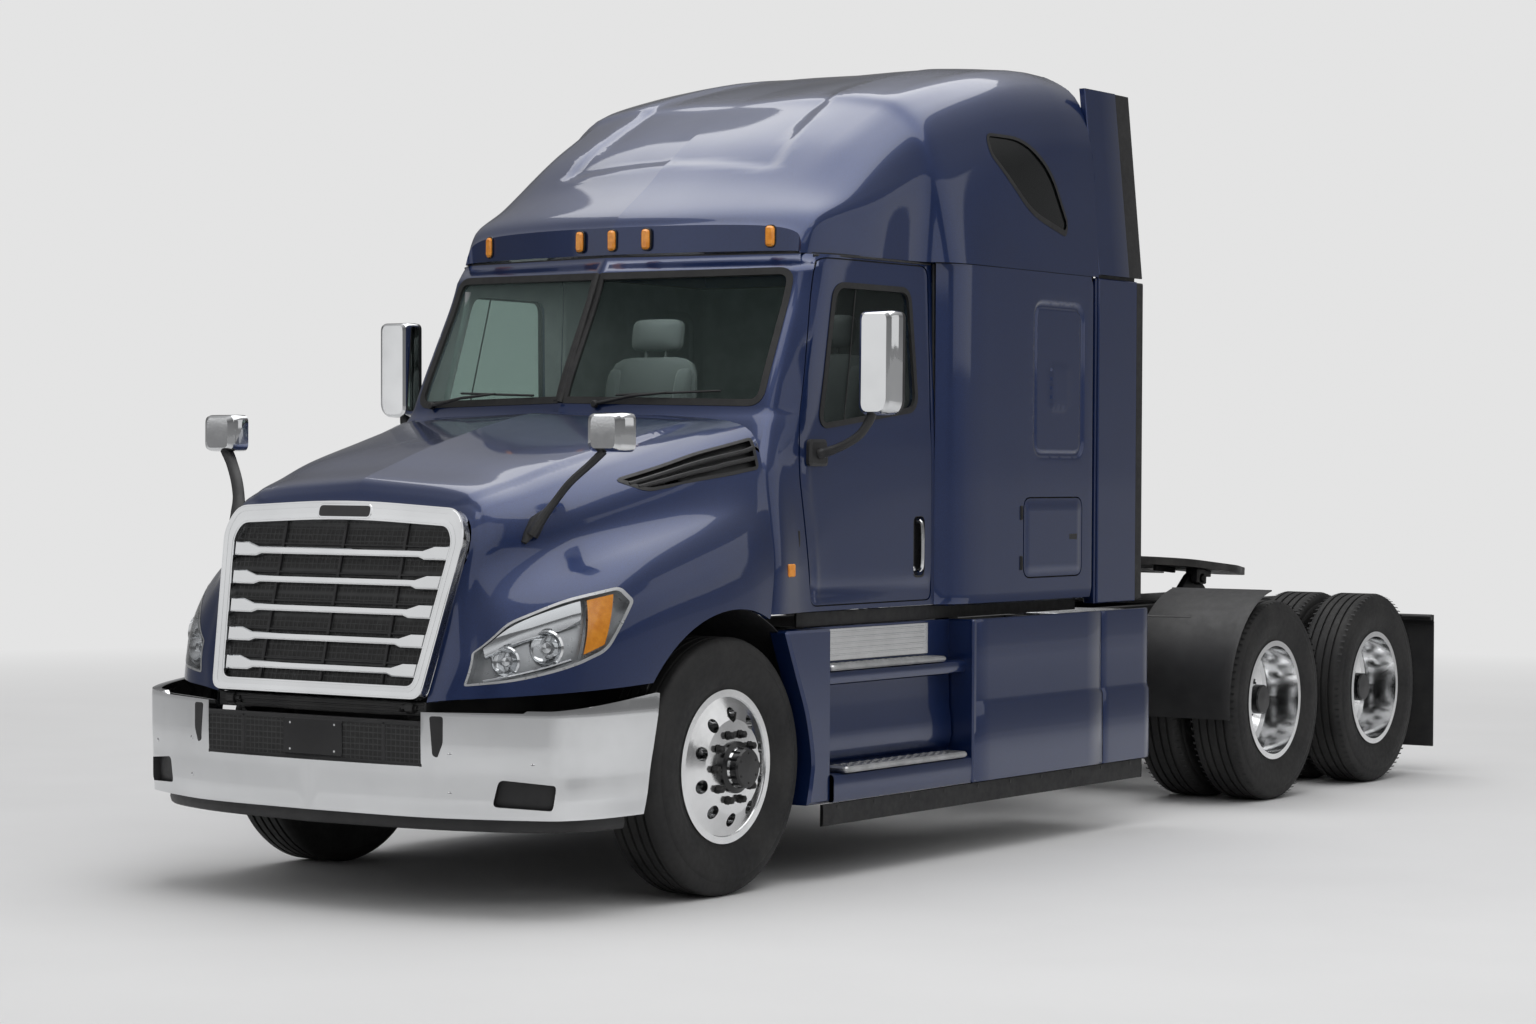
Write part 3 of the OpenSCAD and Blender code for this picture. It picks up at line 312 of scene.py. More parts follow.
    def turned(self, profile, centre, segments=48, axis=0, mat=0, closed=True, sweep=None):
        """A profile of (radius, along) turned about an axis through centre."""
        u, w = (axis + 1) % 3, (axis + 2) % 3
        turns = sweep or (0.0, 2 * math.pi)
        n = segments + (1 if sweep else 0)
        rows = []
        for r, along in profile:
            row = []
            for i in range(n):
                t = turns[0] + (turns[1] - turns[0]) * i / segments
                p = [0, 0, 0]
                p[axis] = centre[axis] + along
                p[u] = centre[u] + r * math.cos(t)
                p[w] = centre[w] + r * math.sin(t)
                row.append(tuple(p))
            rows.append(row)
        if closed:
            rows.append(rows[0])
        rows.reverse()
        m = len(rows)
        verts = [p for row in (rows[:-1] if closed else rows) for p in row]
        k_count = m - 1
        ring = m - 1 if closed else m
        faces = []
        for k in range(k_count):
            for i in range(n if not sweep else n - 1):
                a, b = (k % ring) * n, ((k + 1) % ring) * n
                faces.append((a + i, a + (i + 1) % n, b + (i + 1) % n, b + i))
        return self.add(verts, faces, mat)

    def disc(self, radius, centre, a, b, segments=24, axis=0, edge=0.0, mat=0):
        """A short solid cylinder with eased rims."""
        u, w = (axis + 1) % 3, (axis + 2) % 3
        e = min(edge, abs(b - a) * 0.4)
        rows = []
        for r, along in (((radius - e, a), (radius, a + e), (radius, b - e), (radius - e, b)) if e else (
                (radius, a), (radius, b))):
            row = []
            for i in range(segments):
                t = 2 * math.pi * i / segments
                p = [0, 0, 0]
                p[axis], p[u], p[w] = centre[axis] + along, centre[u] + r * math.cos(t), centre[w] + r * math.sin(t)
                row.append(tuple(p))
            rows.append(row)
        return self.grid(rows, mat, closed=True, caps=True)

    def tube(self, path, radius, segments=12, mat=0, flat=1.0):
        """A round bar along a path. radius may be one number or one a point."""
        path = [Vector(p) for p in path]
        rows, side = [], None
        for i, p in enumerate(path):
            d = (path[min(i + 1, len(path) - 1)] - path[max(i - 1, 0)]).normalized()
            if side is None:
                side = d.orthogonal().normalized()
                if abs(d.z) < 0.9:
                    side = d.cross(Vector((0, 0, 1))).normalized()
            side = (side - d * side.dot(d)).normalized()
            up = d.cross(side)
            r = radius[i] if isinstance(radius, (list, tuple)) else radius
            rows.append([tuple(p + side * (r * math.cos(2 * math.pi * k / segments))
                               + up * (r * flat * math.sin(2 * math.pi * k / segments))) for k in range(segments)])
        return self.grid(rows, mat, closed=True, caps=True)

    def patch(self, f, outline, holes=(), spacing=30.0, thick=0.0, mat=0, back_mat=None, shade=2.0, rim_mat=None,
              extra=()):
        """The part of a surface f(u, v) inside an outline in u and v, with true normals. thick gives it a back."""
        loops = [list(outline)] + [list(h) for h in holes]
        flat, edges = [], []
        for loop in loops:
            base = len(flat)
            flat += [Vector(p) for p in loop]
            edges += [(base + i, base + (i + 1) % len(loop)) for i in range(len(loop))]
        us, ws = [p[0] for p in outline], [p[1] for p in outline]
        nu = max(2, int((max(us) - min(us)) / spacing))
        nw = max(2, int((max(ws) - min(ws)) / spacing))
        for i in range(nu + 1):
            for j in range(nw + 1):
                p = (min(us) + (max(us) - min(us)) * i / nu, min(ws) + (max(ws) - min(ws)) * j / nw)
                if edge_distance(p, loops[0]) > spacing * 0.35 and all(
                        edge_distance(p, h) < -spacing * 0.35 for h in loops[1:]):
                    flat.append(Vector(p))
        flat += [Vector(p) for p in extra if inside(p, loops[0])]
        vs, _, fs, *_ = delaunay_2d_cdt(flat, edges, [], 0, 1e-6)
        faces = []
        for tri in fs:
            c = (sum(vs[i].x for i in tri) / 3, sum(vs[i].y for i in tri) / 3)
            if inside(c, loops[0]) and not any(inside(c, h) for h in loops[1:]):
                area = sum(vs[tri[i - 1]].x * vs[tri[i]].y - vs[tri[i]].x * vs[tri[i - 1]].y for i in range(3))
                faces.append(list(tri) if area > 0 else list(tri)[::-1])
        points = [f(p.x, p.y) for p in vs]
        normals = []
        for p, q in zip(vs, points):
            a, b = f(p.x + shade, p.y), f(p.x - shade, p.y)
            c, d = f(p.x, p.y + shade), f(p.x, p.y - shade)
            u = Vector([i - j for i, j in zip(a, b)])
            w = Vector([i - j for i, j in zip(c, d)])
            normals.append(tuple(u.cross(w).normalized()))
        self.add(points, faces, mat, [[normals[i] for i in face] for face in faces])
        if thick:
            base = len(self.v) - len(points)
            back = [tuple(p - n * thick for p, n in zip(q, m)) for q, m in zip(points, normals)]
            start = len(self.v)
            self.v += back
            for face in faces:
                self.n[len(self.f)] = [tuple(-c for c in normals[i]) for i in face[::-1]]
                self.f.append([start + i for i in face[::-1]])
                self.m.append(mat if back_mat is None else back_mat)
            count = {}
            for face in faces:
                for i in range(3):
                    a, b = face[i], face[(i + 1) % 3]
                    count[a, b] = count.get((a, b), 0) + 1
            for a, b in list(count):
                if (b, a) not in count:
                    self.f.append([base + b, base + a, start + a, start + b])
                    self.m.append(mat if rim_mat is None else rim_mat)
        return self

    def both(self):
        """The same again, mirrored to the other side."""
        nv, nf = len(self.v), len(self.f)
        self.v += [(-x, y, z) for x, y, z in self.v[:nv]]
        for k in range(nf):
            if k in self.n:
                self.n[len(self.f)] = [(-n[0], n[1], n[2]) for n in self.n[k]][::-1]
            self.f.append([nv + i for i in self.f[k]][::-1])
            self.m.append(self.m[k])
        return self

    def join(self, other, change=None, mat=None, turned_over=False):
        base = len(self.v)
        self.v += [tuple(change(p)) if change else p for p in other.v]
        for k, face in enumerate(other.f):
            if k in other.n and not change:
                self.n[len(self.f)] = other.n[k]
            face = [base + i for i in face]
            self.f.append(face[::-1] if turned_over else face)
            self.m.append(other.m[k] if mat is None else mat)
        return self


PIECES = {}


def make(shape, name, body, materials, replaces=(), angle=32, mirror_x=False):
    """Turns a shape into a piece that rides on a body."""
    mesh = bpy.data.meshes.new(name)
    sign = -1 if mirror_x else 1
    verts = [(sign * x / 1000, y / 1000 + Y0, z / 1000) for x, y, z in shape.v]
    faces = [f[::-1] for f in shape.f] if mirror_x else shape.f
    mesh.from_pydata(verts, [], faces)
    mesh.polygons.foreach_set("material_index", shape.m)
    for material in materials if isinstance(materials, (list, tuple)) else [materials]:
        mesh.materials.append(material)
    mesh.shade_smooth()
    mesh.set_sharp_from_angle(angle=math.radians(angle))
    if shape.n:
        loops = []
        for k, face in enumerate(faces):
            given = shape.n.get(k)
            if given:
                loops += [(sign * n[0], n[1], n[2]) for n in (given[::-1] if mirror_x else given)]
            else:
                loops += [(0, 0, 0)] * len(face)
        mesh.normals_split_custom_set(loops)
    mesh.validate()
    piece = bpy.data.objects.new(name, mesh)
    bpy.context.scene.collection.objects.link(piece)
    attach(piece, body)
    if replaces:
        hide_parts(*replaces)
    PIECES[name] = piece
    return piece


# ---------------------------------------------------------------- materials
def start_material(name):
    material = bpy.data.materials.new(name)
    material.use_nodes = True
    tree = material.node_tree
    shader = next(n for n in tree.nodes if n.type == "BSDF_PRINCIPLED")
    coords = tree.nodes.new("ShaderNodeTexCoord")
    return material, tree, shader, coords.outputs["Object"]


def noise(tree, vector, scale, detail=3.0, rough=0.5, stretch=None):
    node = tree.nodes.new("ShaderNodeTexNoise")
    node.inputs["Scale"].default_value = scale
    node.inputs["Detail"].default_value = detail
    node.inputs["Roughness"].default_value = rough
    if stretch:
        scaled = tree.nodes.new("ShaderNodeMapping")
        scaled.inputs["Scale"].default_value = stretch
        tree.links.new(vector, scaled.inputs["Vector"])
        vector = scaled.outputs["Vector"]
    tree.links.new(vector, node.inputs["Vector"])
    return node.outputs["Fac"]


def ranged(tree, value, low, high, start=0.3, end=0.7):
    node = tree.nodes.new("ShaderNodeMapRange")
    for key, number in (("From Min", start), ("From Max", end), ("To Min", low), ("To Max", high)):
        node.inputs[key].default_value = number
    tree.links.new(value, node.inputs["Value"])
    return node.outputs["Result"]


def two_colours(tree, value, first, second, start=0.35, end=0.65):
    ramp = tree.nodes.new("ShaderNodeValToRGB")
    ramp.color_ramp.elements[0].position, ramp.color_ramp.elements[1].position = start, end
    ramp.color_ramp.elements[0].color = (*first, 1)
    ramp.color_ramp.elements[1].color = (*second, 1)
    tree.links.new(value, ramp.inputs["Fac"])
    return ramp.outputs["Color"]


def bumped(tree, shader, height, strength, distance):
    node = tree.nodes.new("ShaderNodeBump")
    node.inputs["Strength"].default_value = strength
    node.inputs["Distance"].default_value = distance
    tree.links.new(height, node.inputs["Height"])
    tree.links.new(node.outputs["Normal"], shader.inputs["Normal"])


def surface(name, first, second, metal=0.0, rough=(0.4, 0.5), mottle=6.0, grain=0.0, grain_scale=600.0, coat=0.0,
            stretch=None, distance=0.001, clump=3.0, **sockets):
    """Mottled colour, uneven roughness and a fine grain."""
    material, tree, shader, at = start_material(name)
    tree.links.new(two_colours(tree, noise(tree, at, mottle, clump, stretch=stretch), first, second),
                   shader.inputs["Base Color"])
    tree.links.new(ranged(tree, noise(tree, at, mottle * 3.3, 4, 0.6, stretch), *rough), shader.inputs["Roughness"])
    shader.inputs["Metallic"].default_value = metal
    shader.inputs["Coat Weight"].default_value = coat
    shader.inputs["Coat Roughness"].default_value = 0.03
    for key, value in sockets.items():
        shader.inputs[key.replace("_", " ").title().replace("Ior", "IOR")].default_value = value
    if grain:
        bumped(tree, shader, noise(tree, at, grain_scale, 2, 0.5, stretch), grain, distance)
    return material


def make_glass(name, tint, dark, gloss=0.02):
    """Tinted glass that lets light through: what is behind it, with a clear shine on top. Its dark colour, mixed in by
    facing, is a painted haze: painted light and shade standing in for what lies behind the glass.
    """
    material, tree, shader, at = start_material(name)
    # Painted haze: a flat colour on the glass that stands in for the light and shade behind it
    tree.links.new(two_colours(tree, noise(tree, at, 1.2, 1), dark, tuple(c * 1.15 for c in dark)),
                   shader.inputs["Base Color"])
    tree.links.new(ranged(tree, noise(tree, at, 9, 3), gloss, gloss * 1.8), shader.inputs["Roughness"])
    shader.inputs["Specular IOR Level"].default_value = 0.6
    clear = tree.nodes.new("ShaderNodeBsdfTransparent")
    clear.inputs["Color"].default_value = (*tint, 1)
    weight = tree.nodes.new("ShaderNodeLayerWeight")
    weight.inputs["Blend"].default_value = 0.5
    blend = tree.nodes.new("ShaderNodeMixShader")
    tree.links.new(ranged(tree, weight.outputs["Facing"], 0.05, 0.85, 0.28, 1.0), blend.inputs[0])
    tree.links.new(clear.outputs[0], blend.inputs[1])
    tree.links.new(shader.outputs[0], blend.inputs[2])
    tree.links.new(blend.outputs[0], next(n for n in tree.nodes if n.type == "OUTPUT_MATERIAL").inputs["Surface"])
    return material


def make_paint():
    """Deep blue metallic paint under a clear coat, with a fine flake and a little orange peel in the coat."""
    material, tree, shader, at = start_material("blue_metallic_paint")
    flake = tree.nodes.new("ShaderNodeTexVoronoi")
    flake.inputs["Scale"].default_value = 900
    tree.links.new(at, flake.inputs["Vector"])
    fine = two_colours(tree, flake.outputs["Color"], (0.0025, 0.013, 0.066), (0.008, 0.029, 0.122), 0.2, 0.9)
    tree.links.new(fine, shader.inputs["Base Color"])
    tree.links.new(ranged(tree, noise(tree, at, 4, 3), 0.30, 0.36), shader.inputs["Roughness"])
    shader.inputs["Metallic"].default_value = 0.55
    shader.inputs["Coat Weight"].default_value = 1.0
    shader.inputs["Coat Roughness"].default_value = 0.025
    shader.inputs["Coat IOR"].default_value = 1.5
    peel = tree.nodes.new("ShaderNodeBump")
    peel.inputs["Strength"].default_value = 0.03
    peel.inputs["Distance"].default_value = 0.002
    tree.links.new(noise(tree, at, 160, 2), peel.inputs["Height"])
    tree.links.new(peel.outputs["Normal"], shader.inputs["Coat Normal"])
    return material


def make_mesh_black(name, scale, depth, first, second):
    """Black moulding whose face is a honeycomb of small cells, each cell's middle painted near black as the shade seen
    through its hole.
    """
    material, tree, shader, at = start_material(name)
    cell = tree.nodes.new("ShaderNodeTexVoronoi")
    cell.feature = "DISTANCE_TO_EDGE"
    cell.inputs["Scale"].default_value = scale
    cell.inputs["Randomness"].default_value = 0.0
    tree.links.new(at, cell.inputs["Vector"])
    # Painted shade: the cells' middles go near black, standing in for the shade through the holes
    tree.links.new(two_colours(tree, cell.outputs["Distance"], first, second, 0.03, 0.12), shader.inputs["Base Color"])
    tree.links.new(ranged(tree, noise(tree, at, 30, 3), 0.4, 0.6), shader.inputs["Roughness"])
    bumped(tree, shader, cell.outputs["Distance"], 0.8, depth)
    return material


def make_weave(name, first, second, scale):
    """Woven cloth from two crossed waves."""
    material, tree, shader, at = start_material(name)
    waves = []
    for direction in ("X", "Z"):
        wave = tree.nodes.new("ShaderNodeTexWave")
        wave.bands_direction = direction
        wave.inputs["Scale"].default_value = scale
        wave.inputs["Distortion"].default_value = 0.6
        tree.links.new(at, wave.inputs["Vector"])
        waves.append(wave.outputs["Fac"])
    crossed = tree.nodes.new("ShaderNodeMath")
    crossed.operation = "MULTIPLY"
    tree.links.new(waves[0], crossed.inputs[0])
    tree.links.new(waves[1], crossed.inputs[1])
    tree.links.new(two_colours(tree, crossed.outputs[0], first, second, 0.1, 0.8), shader.inputs["Base Color"])
    tree.links.new(ranged(tree, noise(tree, at, 12, 4), 0.78, 0.95), shader.inputs["Roughness"])
    shader.inputs["Sheen Weight"].default_value = 0.3
    bumped(tree, shader, crossed.outputs[0], 0.5, 0.0008)
    return material


def make_tyre():
    """Black rubber, dusty in places, with a fine grain."""
    material, tree, shader, at = start_material("tyre_rubber")
    tree.links.new(two_colours(tree, noise(tree, at, 5, 4), (0.010, 0.010, 0.0105), (0.022, 0.0215, 0.021)),
                   shader.inputs["Base Color"])
    tree.links.new(ranged(tree, noise(tree, at, 40, 4), 0.58, 0.74), shader.inputs["Roughness"])
    shader.inputs["Specular IOR Level"].default_value = 0.4
    bumped(tree, shader, noise(tree, at, 500, 3), 0.25, 0.0008)
    return material


def make_tread_plate(name, first, second):
    """Bright plate with a raised pattern of small bars."""
    material, tree, shader, at = start_material(name)
    brick = tree.nodes.new("ShaderNodeTexVoronoi")
    brick.inputs["Scale"].default_value = 34
    brick.inputs["Randomness"].default_value = 0.15
    turned = tree.nodes.new("ShaderNodeMapping")
    turned.inputs["Rotation"].default_value = (0, 0, math.radians(45))
    turned.inputs["Scale"].default_value = (1, 2.2, 1)
    tree.links.new(at, turned.inputs["Vector"])
    tree.links.new(turned.outputs["Vector"], brick.inputs["Vector"])
    tree.links.new(two_colours(tree, noise(tree, at, 9, 4), first, second), shader.inputs["Base Color"])
    tree.links.new(ranged(tree, noise(tree, at, 30, 4), 0.24, 0.38), shader.inputs["Roughness"])
    shader.inputs["Metallic"].default_value = 1.0
    raised = ranged(tree, brick.outputs["Distance"], 1.0, 0.0, 0.2, 0.35)
    bumped(tree, shader, raised, 0.6, 0.002)
    return material


PAINT = make_paint()
CHROME = surface("chrome_plate", (0.68, 0.69, 0.70), (0.74, 0.75, 0.76), 1.0, (0.035, 0.075), 3.0, 0.02, 90.0)
ALLOY = surface("polished_alloy", (0.78, 0.785, 0.79), (0.86, 0.865, 0.87), 1.0, (0.10, 0.17), 10.0, 0.04, 900.0)
PLAIN_ALLOY = surface("plain_alloy", (0.42, 0.425, 0.43), (0.55, 0.555, 0.56), 1.0, (0.32, 0.48), 12.0, 0.08, 700.0)
PLASTIC = surface("black_moulded_plastic", (0.012, 0.012, 0.013), (0.020, 0.020, 0.021), 0.0, (0.42, 0.55), 7.0, 0.22,
                  1100.0)
GLOSS_BLACK = surface("gloss_black", (0.007, 0.007, 0.008), (0.012, 0.012, 0.013), 0.0, (0.14, 0.22), 6.0, 0.03, 200.0)
BLACK_STEEL = surface("painted_black_steel", (0.011, 0.011, 0.012), (0.026, 0.0255, 0.025), 0.25, (0.34, 0.52), 4.0,
                      0.10, 260.0)
IRON = surface("cast_iron", (0.020, 0.0195, 0.019), (0.055, 0.051, 0.047), 0.5, (0.5, 0.75), 14.0, 0.5, 180.0,
               distance=0.002)
GREASED = surface("worn_greased_plate", (0.020, 0.020, 0.021), (0.085, 0.082, 0.078), 0.7, (0.28, 0.60), 5.0, 0.25,
                  300.0, stretch=(1, 0.4, 1))
TYRE = make_tyre()
RUBBER = surface("black_rubber", (0.010, 0.010, 0.011), (0.017, 0.017, 0.017), 0.0, (0.55, 0.72), 9.0, 0.2, 700.0)
# The windshield's and side windows' haze colours are painted light and shade of the cab interior behind them
GLASS = make_glass("green_tinted_glass_painted_haze", (0.86, 0.95, 0.92), (0.13, 0.165, 0.16))
SIDE_GLASS = make_glass("grey_tinted_glass_painted_haze", (0.66, 0.72, 0.70), (0.03, 0.034, 0.034))
DARK_GLASS = surface("dark_window_glass", (0.004, 0.005, 0.005), (0.008, 0.009, 0.009), 0.0, (0.02, 0.05), 2.0,
                     0.01, 60.0, specular_ior_level=0.7)
LENS = make_glass("clear_lens", (0.96, 0.97, 0.98), (0.03, 0.031, 0.032), 0.01)
AMBER = surface("amber_lens", (0.80, 0.26, 0.015), (0.95, 0.36, 0.03), 0.0, (0.08, 0.16), 40.0, 0.3, 260.0, coat=0.6)
RED = surface("red_lens", (0.42, 0.012, 0.010), (0.55, 0.02, 0.015), 0.0, (0.08, 0.16), 40.0, 0.3, 260.0, coat=0.6)
WHITE_LENS = surface("white_lens", (0.70, 0.70, 0.70), (0.82, 0.82, 0.82), 0.0, (0.08, 0.16), 40.0, 0.3, 260.0)
LAMP_GREY = surface("lamp_bezel", (0.42, 0.43, 0.44), (0.52, 0.53, 0.54), 0.6, (0.25, 0.38), 12.0, 0.08, 500.0)
# Honeycomb with painted shade in its cell middles
GRILLE_MESH = make_mesh_black("honeycomb_mesh_painted_hole_shade", 42.0, 0.006, (0.030, 0.031, 0.032), (0.003, 0.003, 0.003))
# Seat cloth, lightened as painted light to make up for the dim light inside the cab
PAINTED_LIGHT_FABRIC = make_weave("grey_seat_cloth_painted_light", (0.07, 0.072, 0.076), (0.15, 0.152, 0.158), 260.0)
BEDDING = make_weave("mattress_cloth", (0.16, 0.16, 0.17), (0.30, 0.30, 0.31), 180.0)
# Interior grey trim, lightened as painted light to make up for the dim light inside the cab
PAINTED_LIGHT_TRIM = surface("grey_trim_painted_light", (0.27, 0.275, 0.28), (0.33, 0.335, 0.34), 0.0, (0.55, 0.7), 8.0, 0.3, 800.0)
DARK_TRIM = surface("dark_trim", (0.022, 0.022, 0.024), (0.036, 0.036, 0.038), 0.0, (0.5, 0.66), 8.0, 0.3, 800.0)
TREAD = make_tread_plate("tread_plate", (0.60, 0.61, 0.62), (0.74, 0.75, 0.76))
MIRROR = surface("mirror_glass", (0.82, 0.83, 0.84), (0.88, 0.89, 0.90), 1.0, (0.01, 0.03), 2.0, 0.01, 40.0)


# ---------------------------------------------------------------- studio
def make_studio():
    """A pale floor that runs into a pale background, and soft lights."""
    scene = bpy.context.scene
    scene.view_settings.view_transform = "Standard"
    world = bpy.data.worlds.new("studio")
    scene.world = world
    world.use_nodes = True
    tree = world.node_tree
    back = next(n for n in tree.nodes if n.type == "BACKGROUND")
    coords = tree.nodes.new("ShaderNodeTexCoord")
    split = tree.nodes.new("ShaderNodeSeparateXYZ")
    tree.links.new(coords.outputs["Generated"], split.inputs["Vector"])
    ramp = tree.nodes.new("ShaderNodeValToRGB")
    stops = ((0.0, 0.30), (0.49, 0.28), (0.53, 0.20), (0.62, 0.14), (0.78, 0.40), (1.0, 0.75))
    ramp.color_ramp.elements[0].position, ramp.color_ramp.elements[1].position = stops[0][0], stops[-1][0]
    for place, value in stops[1:-1]:
        ramp.color_ramp.elements.new(place)
    for element, (place, value) in zip(ramp.color_ramp.elements, stops):
        element.position = place
        element.color = (value, value, value * 1.01, 1)
    tree.links.new(ranged(tree, split.outputs["Z"], 0.0, 1.0, -1.0, 1.0), ramp.inputs["Fac"])
    path = tree.nodes.new("ShaderNodeLightPath")
    choose = tree.nodes.new("ShaderNodeMix")
    choose.data_type = "RGBA"
    tree.links.new(path.outputs["Is Camera Ray"], choose.inputs[0])
    tree.links.new(ramp.outputs["Color"], choose.inputs[6])
    choose.inputs[7].default_value = (0.775, 0.775, 0.775, 1)
    tree.links.new(choose.outputs[2], back.inputs["Color"])

    floor = bpy.data.materials.new("studio_floor")
    floor.use_nodes = True
    tree = floor.node_tree
    shader = next(n for n in tree.nodes if n.type == "BSDF_PRINCIPLED")
    shader.inputs["Roughness"].default_value = 0.75
    coords = tree.nodes.new("ShaderNodeTexCoord").outputs["Object"]
    tree.links.new(two_colours(tree, noise(tree, coords, 0.6, 3), (0.70, 0.70, 0.70), (0.73, 0.73, 0.73)),
                   shader.inputs["Base Color"])
    far = tree.nodes.new("ShaderNodeVectorMath")
    far.operation = "LENGTH"
    tree.links.new(coords, far.inputs[0])
    glow = tree.nodes.new("ShaderNodeEmission")
    glow.inputs["Color"].default_value = (0.775, 0.775, 0.775, 1)
    blend = tree.nodes.new("ShaderNodeMixShader")
    seen = tree.nodes.new("ShaderNodeMath")
    seen.operation = "MULTIPLY"
    tree.links.new(ranged(tree, far.outputs["Value"], 0.0, 1.0, 4.5, 17.0), seen.inputs[0])
    tree.links.new(tree.nodes.new("ShaderNodeLightPath").outputs["Is Camera Ray"], seen.inputs[1])
    tree.links.new(seen.outputs[0], blend.inputs[0])
    tree.links.new(shader.outputs[0], blend.inputs[1])
    tree.links.new(glow.outputs[0], blend.inputs[2])
    tree.links.new(blend.outputs[0], next(n for n in tree.nodes if n.type == "OUTPUT_MATERIAL").inputs["Surface"])
    mesh = bpy.data.meshes.new("studio_floor")
    far_out = 400.0
    mesh.from_pydata([(-far_out, -far_out, -0.001), (far_out, -far_out, -0.001), (far_out, far_out, -0.001),
                      (-far_out, far_out, -0.001)], [], [(0, 1, 2, 3)])
    mesh.materials.append(floor)
    plane = bpy.data.objects.new("studio_floor", mesh)
    scene.collection.objects.link(plane)
    plane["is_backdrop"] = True

    def light(name, place, target, size, power):
        data = bpy.data.lights.new(name, "AREA")
        data.shape, data.size, data.size_y, data.energy = "RECTANGLE", size[0], size[1], power
        lamp = bpy.data.objects.new(name, data)
        lamp.location = place
        lamp.rotation_mode = "QUATERNION"
        lamp.rotation_quaternion = (Vector(target) - Vector(place)).to_track_quat("-Z", "Y")
        scene.collection.objects.link(lamp)
        return lamp

    cabin = bpy.data.lights.new("cabin", "AREA")
    cabin.shape, cabin.size, cabin.size_y, cabin.energy = "RECTANGLE", 1.2, 0.8, 9
    lamp = bpy.data.objects.new("cabin", cabin)
    lamp.location = (0, Y0 + 1.35, 2.66)
    lamp.visible_camera = lamp.visible_glossy = False
    scene.collection.objects.link(lamp)
    light("overhead", (0.5, -0.5, 9.5), (0, 0, 0), (9.0, 15.0), 690)
    light("key", (9.0, -9.0, 6.5), (0, -1.5, 1.4), (10.0, 7.0), 150)
    light("side", (11.0, 4.0, 5.0), (0, 0.5, 1.2), (10.0, 5.0), 90)
    light("front", (-4.5, -12.0, 4.5), (0, -3, 1.2), (9.0, 5.0), 90)
    light("back", (-6.0, 10.0, 6.0), (0, 2, 1.5), (7.0, 4.0), 110).visible_glossy = False


make_studio()


# ---------------------------------------------------------------- cab
CAB_LEVELS = [
    (1170, [(0, 318), (1000, 330), (1195, 302), (1110, 680), (1105, 1750)]),
    (1410, [(0, 320), (1000, 332), (1195, 326), (1110, 660), (1105, 1750)]),
    (1790, [(0, 326), (985, 345), (1098, 376), (1105, 620), (1105, 1750)]),
    (2044, [(0, 308), (985, 495), (1022, 520), (1090, 700), (1100, 1750)]),
    (2700, [(0, 655), (965, 832), (985, 850), (1045, 950), (1080, 1750)]),
    (2752, [(0, 682), (962, 860), (982, 880), (1042, 975), (1078, 1750)])]
CAB_U = (0, 1000, 1195, 1560, 2640)
SEAM = 2752
CAB_Z = 1170


def table_index(value, table):
    last = len(table) - 1
    k = 0
    while k < last - 1 and value > table[k + 1]:
        k += 1
    return k + (value - table[k]) / (table[k + 1] - table[k])


def cab(u, z, out=0.0):
    """A point on the cab's skin. u runs from the middle of the front round to the rear of the door."""
    t = table_index(u, CAB_U)
    rings = [rounded(ring, t, (0, 0.12, 0.42, 0.25, 0)) for _, ring in CAB_LEVELS]
    k = table_index(z, [level for level, _ in CAB_LEVELS])
    x, y = rounded(rings, k, (0, 0.3, 0.3, 0.3, 0.3, 0))
    if out:
        a, b = cab(u + 3, z), cab(u - 3, z)
        dx, dy = a[0] - b[0], a[1] - b[1]
        n = math.hypot(dx, dy)
        return (x + dy / n * out, y - dx / n * out, z)
    return (x, y, z)


def solve(f, low, high, target):
    """Where a rising function reaches a target."""
    for _ in range(26):
        middle = (low + high) / 2
        if f(middle) < target:
            low = middle
        else:
            high = middle
    return (low + high) / 2


def cab_side_u(y, z):
    return solve(lambda u: cab(u, z)[1], 1195, 2640, y)


def cab_front_u(x, z):
    return solve(lambda u: cab(u, z)[0], 0, 1190, x)


def dense(outline, length=60.0):
    out = []
    for i, b in enumerate(outline):
        a = outline[i - 1]
        n = max(1, int(math.dist(a, b) / length))
        out += [mix(a, b, k / n) for k in range(1, n + 1)]
    return out


def on_side(outline):
    return [(cab_side_u(y, z), z) for y, z in outline]


def on_front(outline):
    return [(cab_front_u(x, z), z) for x, z in outline]


DOOR = fillet([(700, 1190), (612, 1790), (640, 1960), (880, 2735), (1722, 2735), (1722, 1190)],
              (46, 200, 200, 70, 60, 46), 6)
WINDOW = fillet([(806, 1985), (985, 2612), (1560, 2612), (1598, 2075)], (60, 70, 60, 70), 6)
PANE = fillet([(18, 2098), (962, 2082), (940, 2672), (18, 2662)], (8, 60, 60, 8), 6)
door_hole = on_side(dense(DOOR))
pane_hole = on_front(dense(PANE))

cab_skin = Shape()
cab_outline = dense([(0, CAB_Z), (2640, CAB_Z), (2640, SEAM - 3), (0, SEAM - 3)], 90)
cab_skin.patch(cab, cab_outline, [door_hole, pane_hole], 42, 34, 0, 1, rim_mat=0)
cab_skin.both()
make(cab_skin, "cab_skin", "chassis", [PAINT, PAINTED_LIGHT_TRIM], ["cab_shell"])

# Seals behind the door's gap and behind the seam under the roof
seals = Shape()
seals.patch(lambda u, z: cab(u, z, -16), on_side(dense(grown(DOOR, 20))), [on_side(dense(grown(DOOR, -14)))], 200, 10)
seals.patch(lambda u, z: cab(u, z, -9), dense([(0, SEAM - 24), (2640, SEAM - 24), (2640, SEAM + 4), (0, SEAM + 4)],
        60),
            (), 400, 6)
seals.both()
make(seals, "door_seals", "chassis", RUBBER)

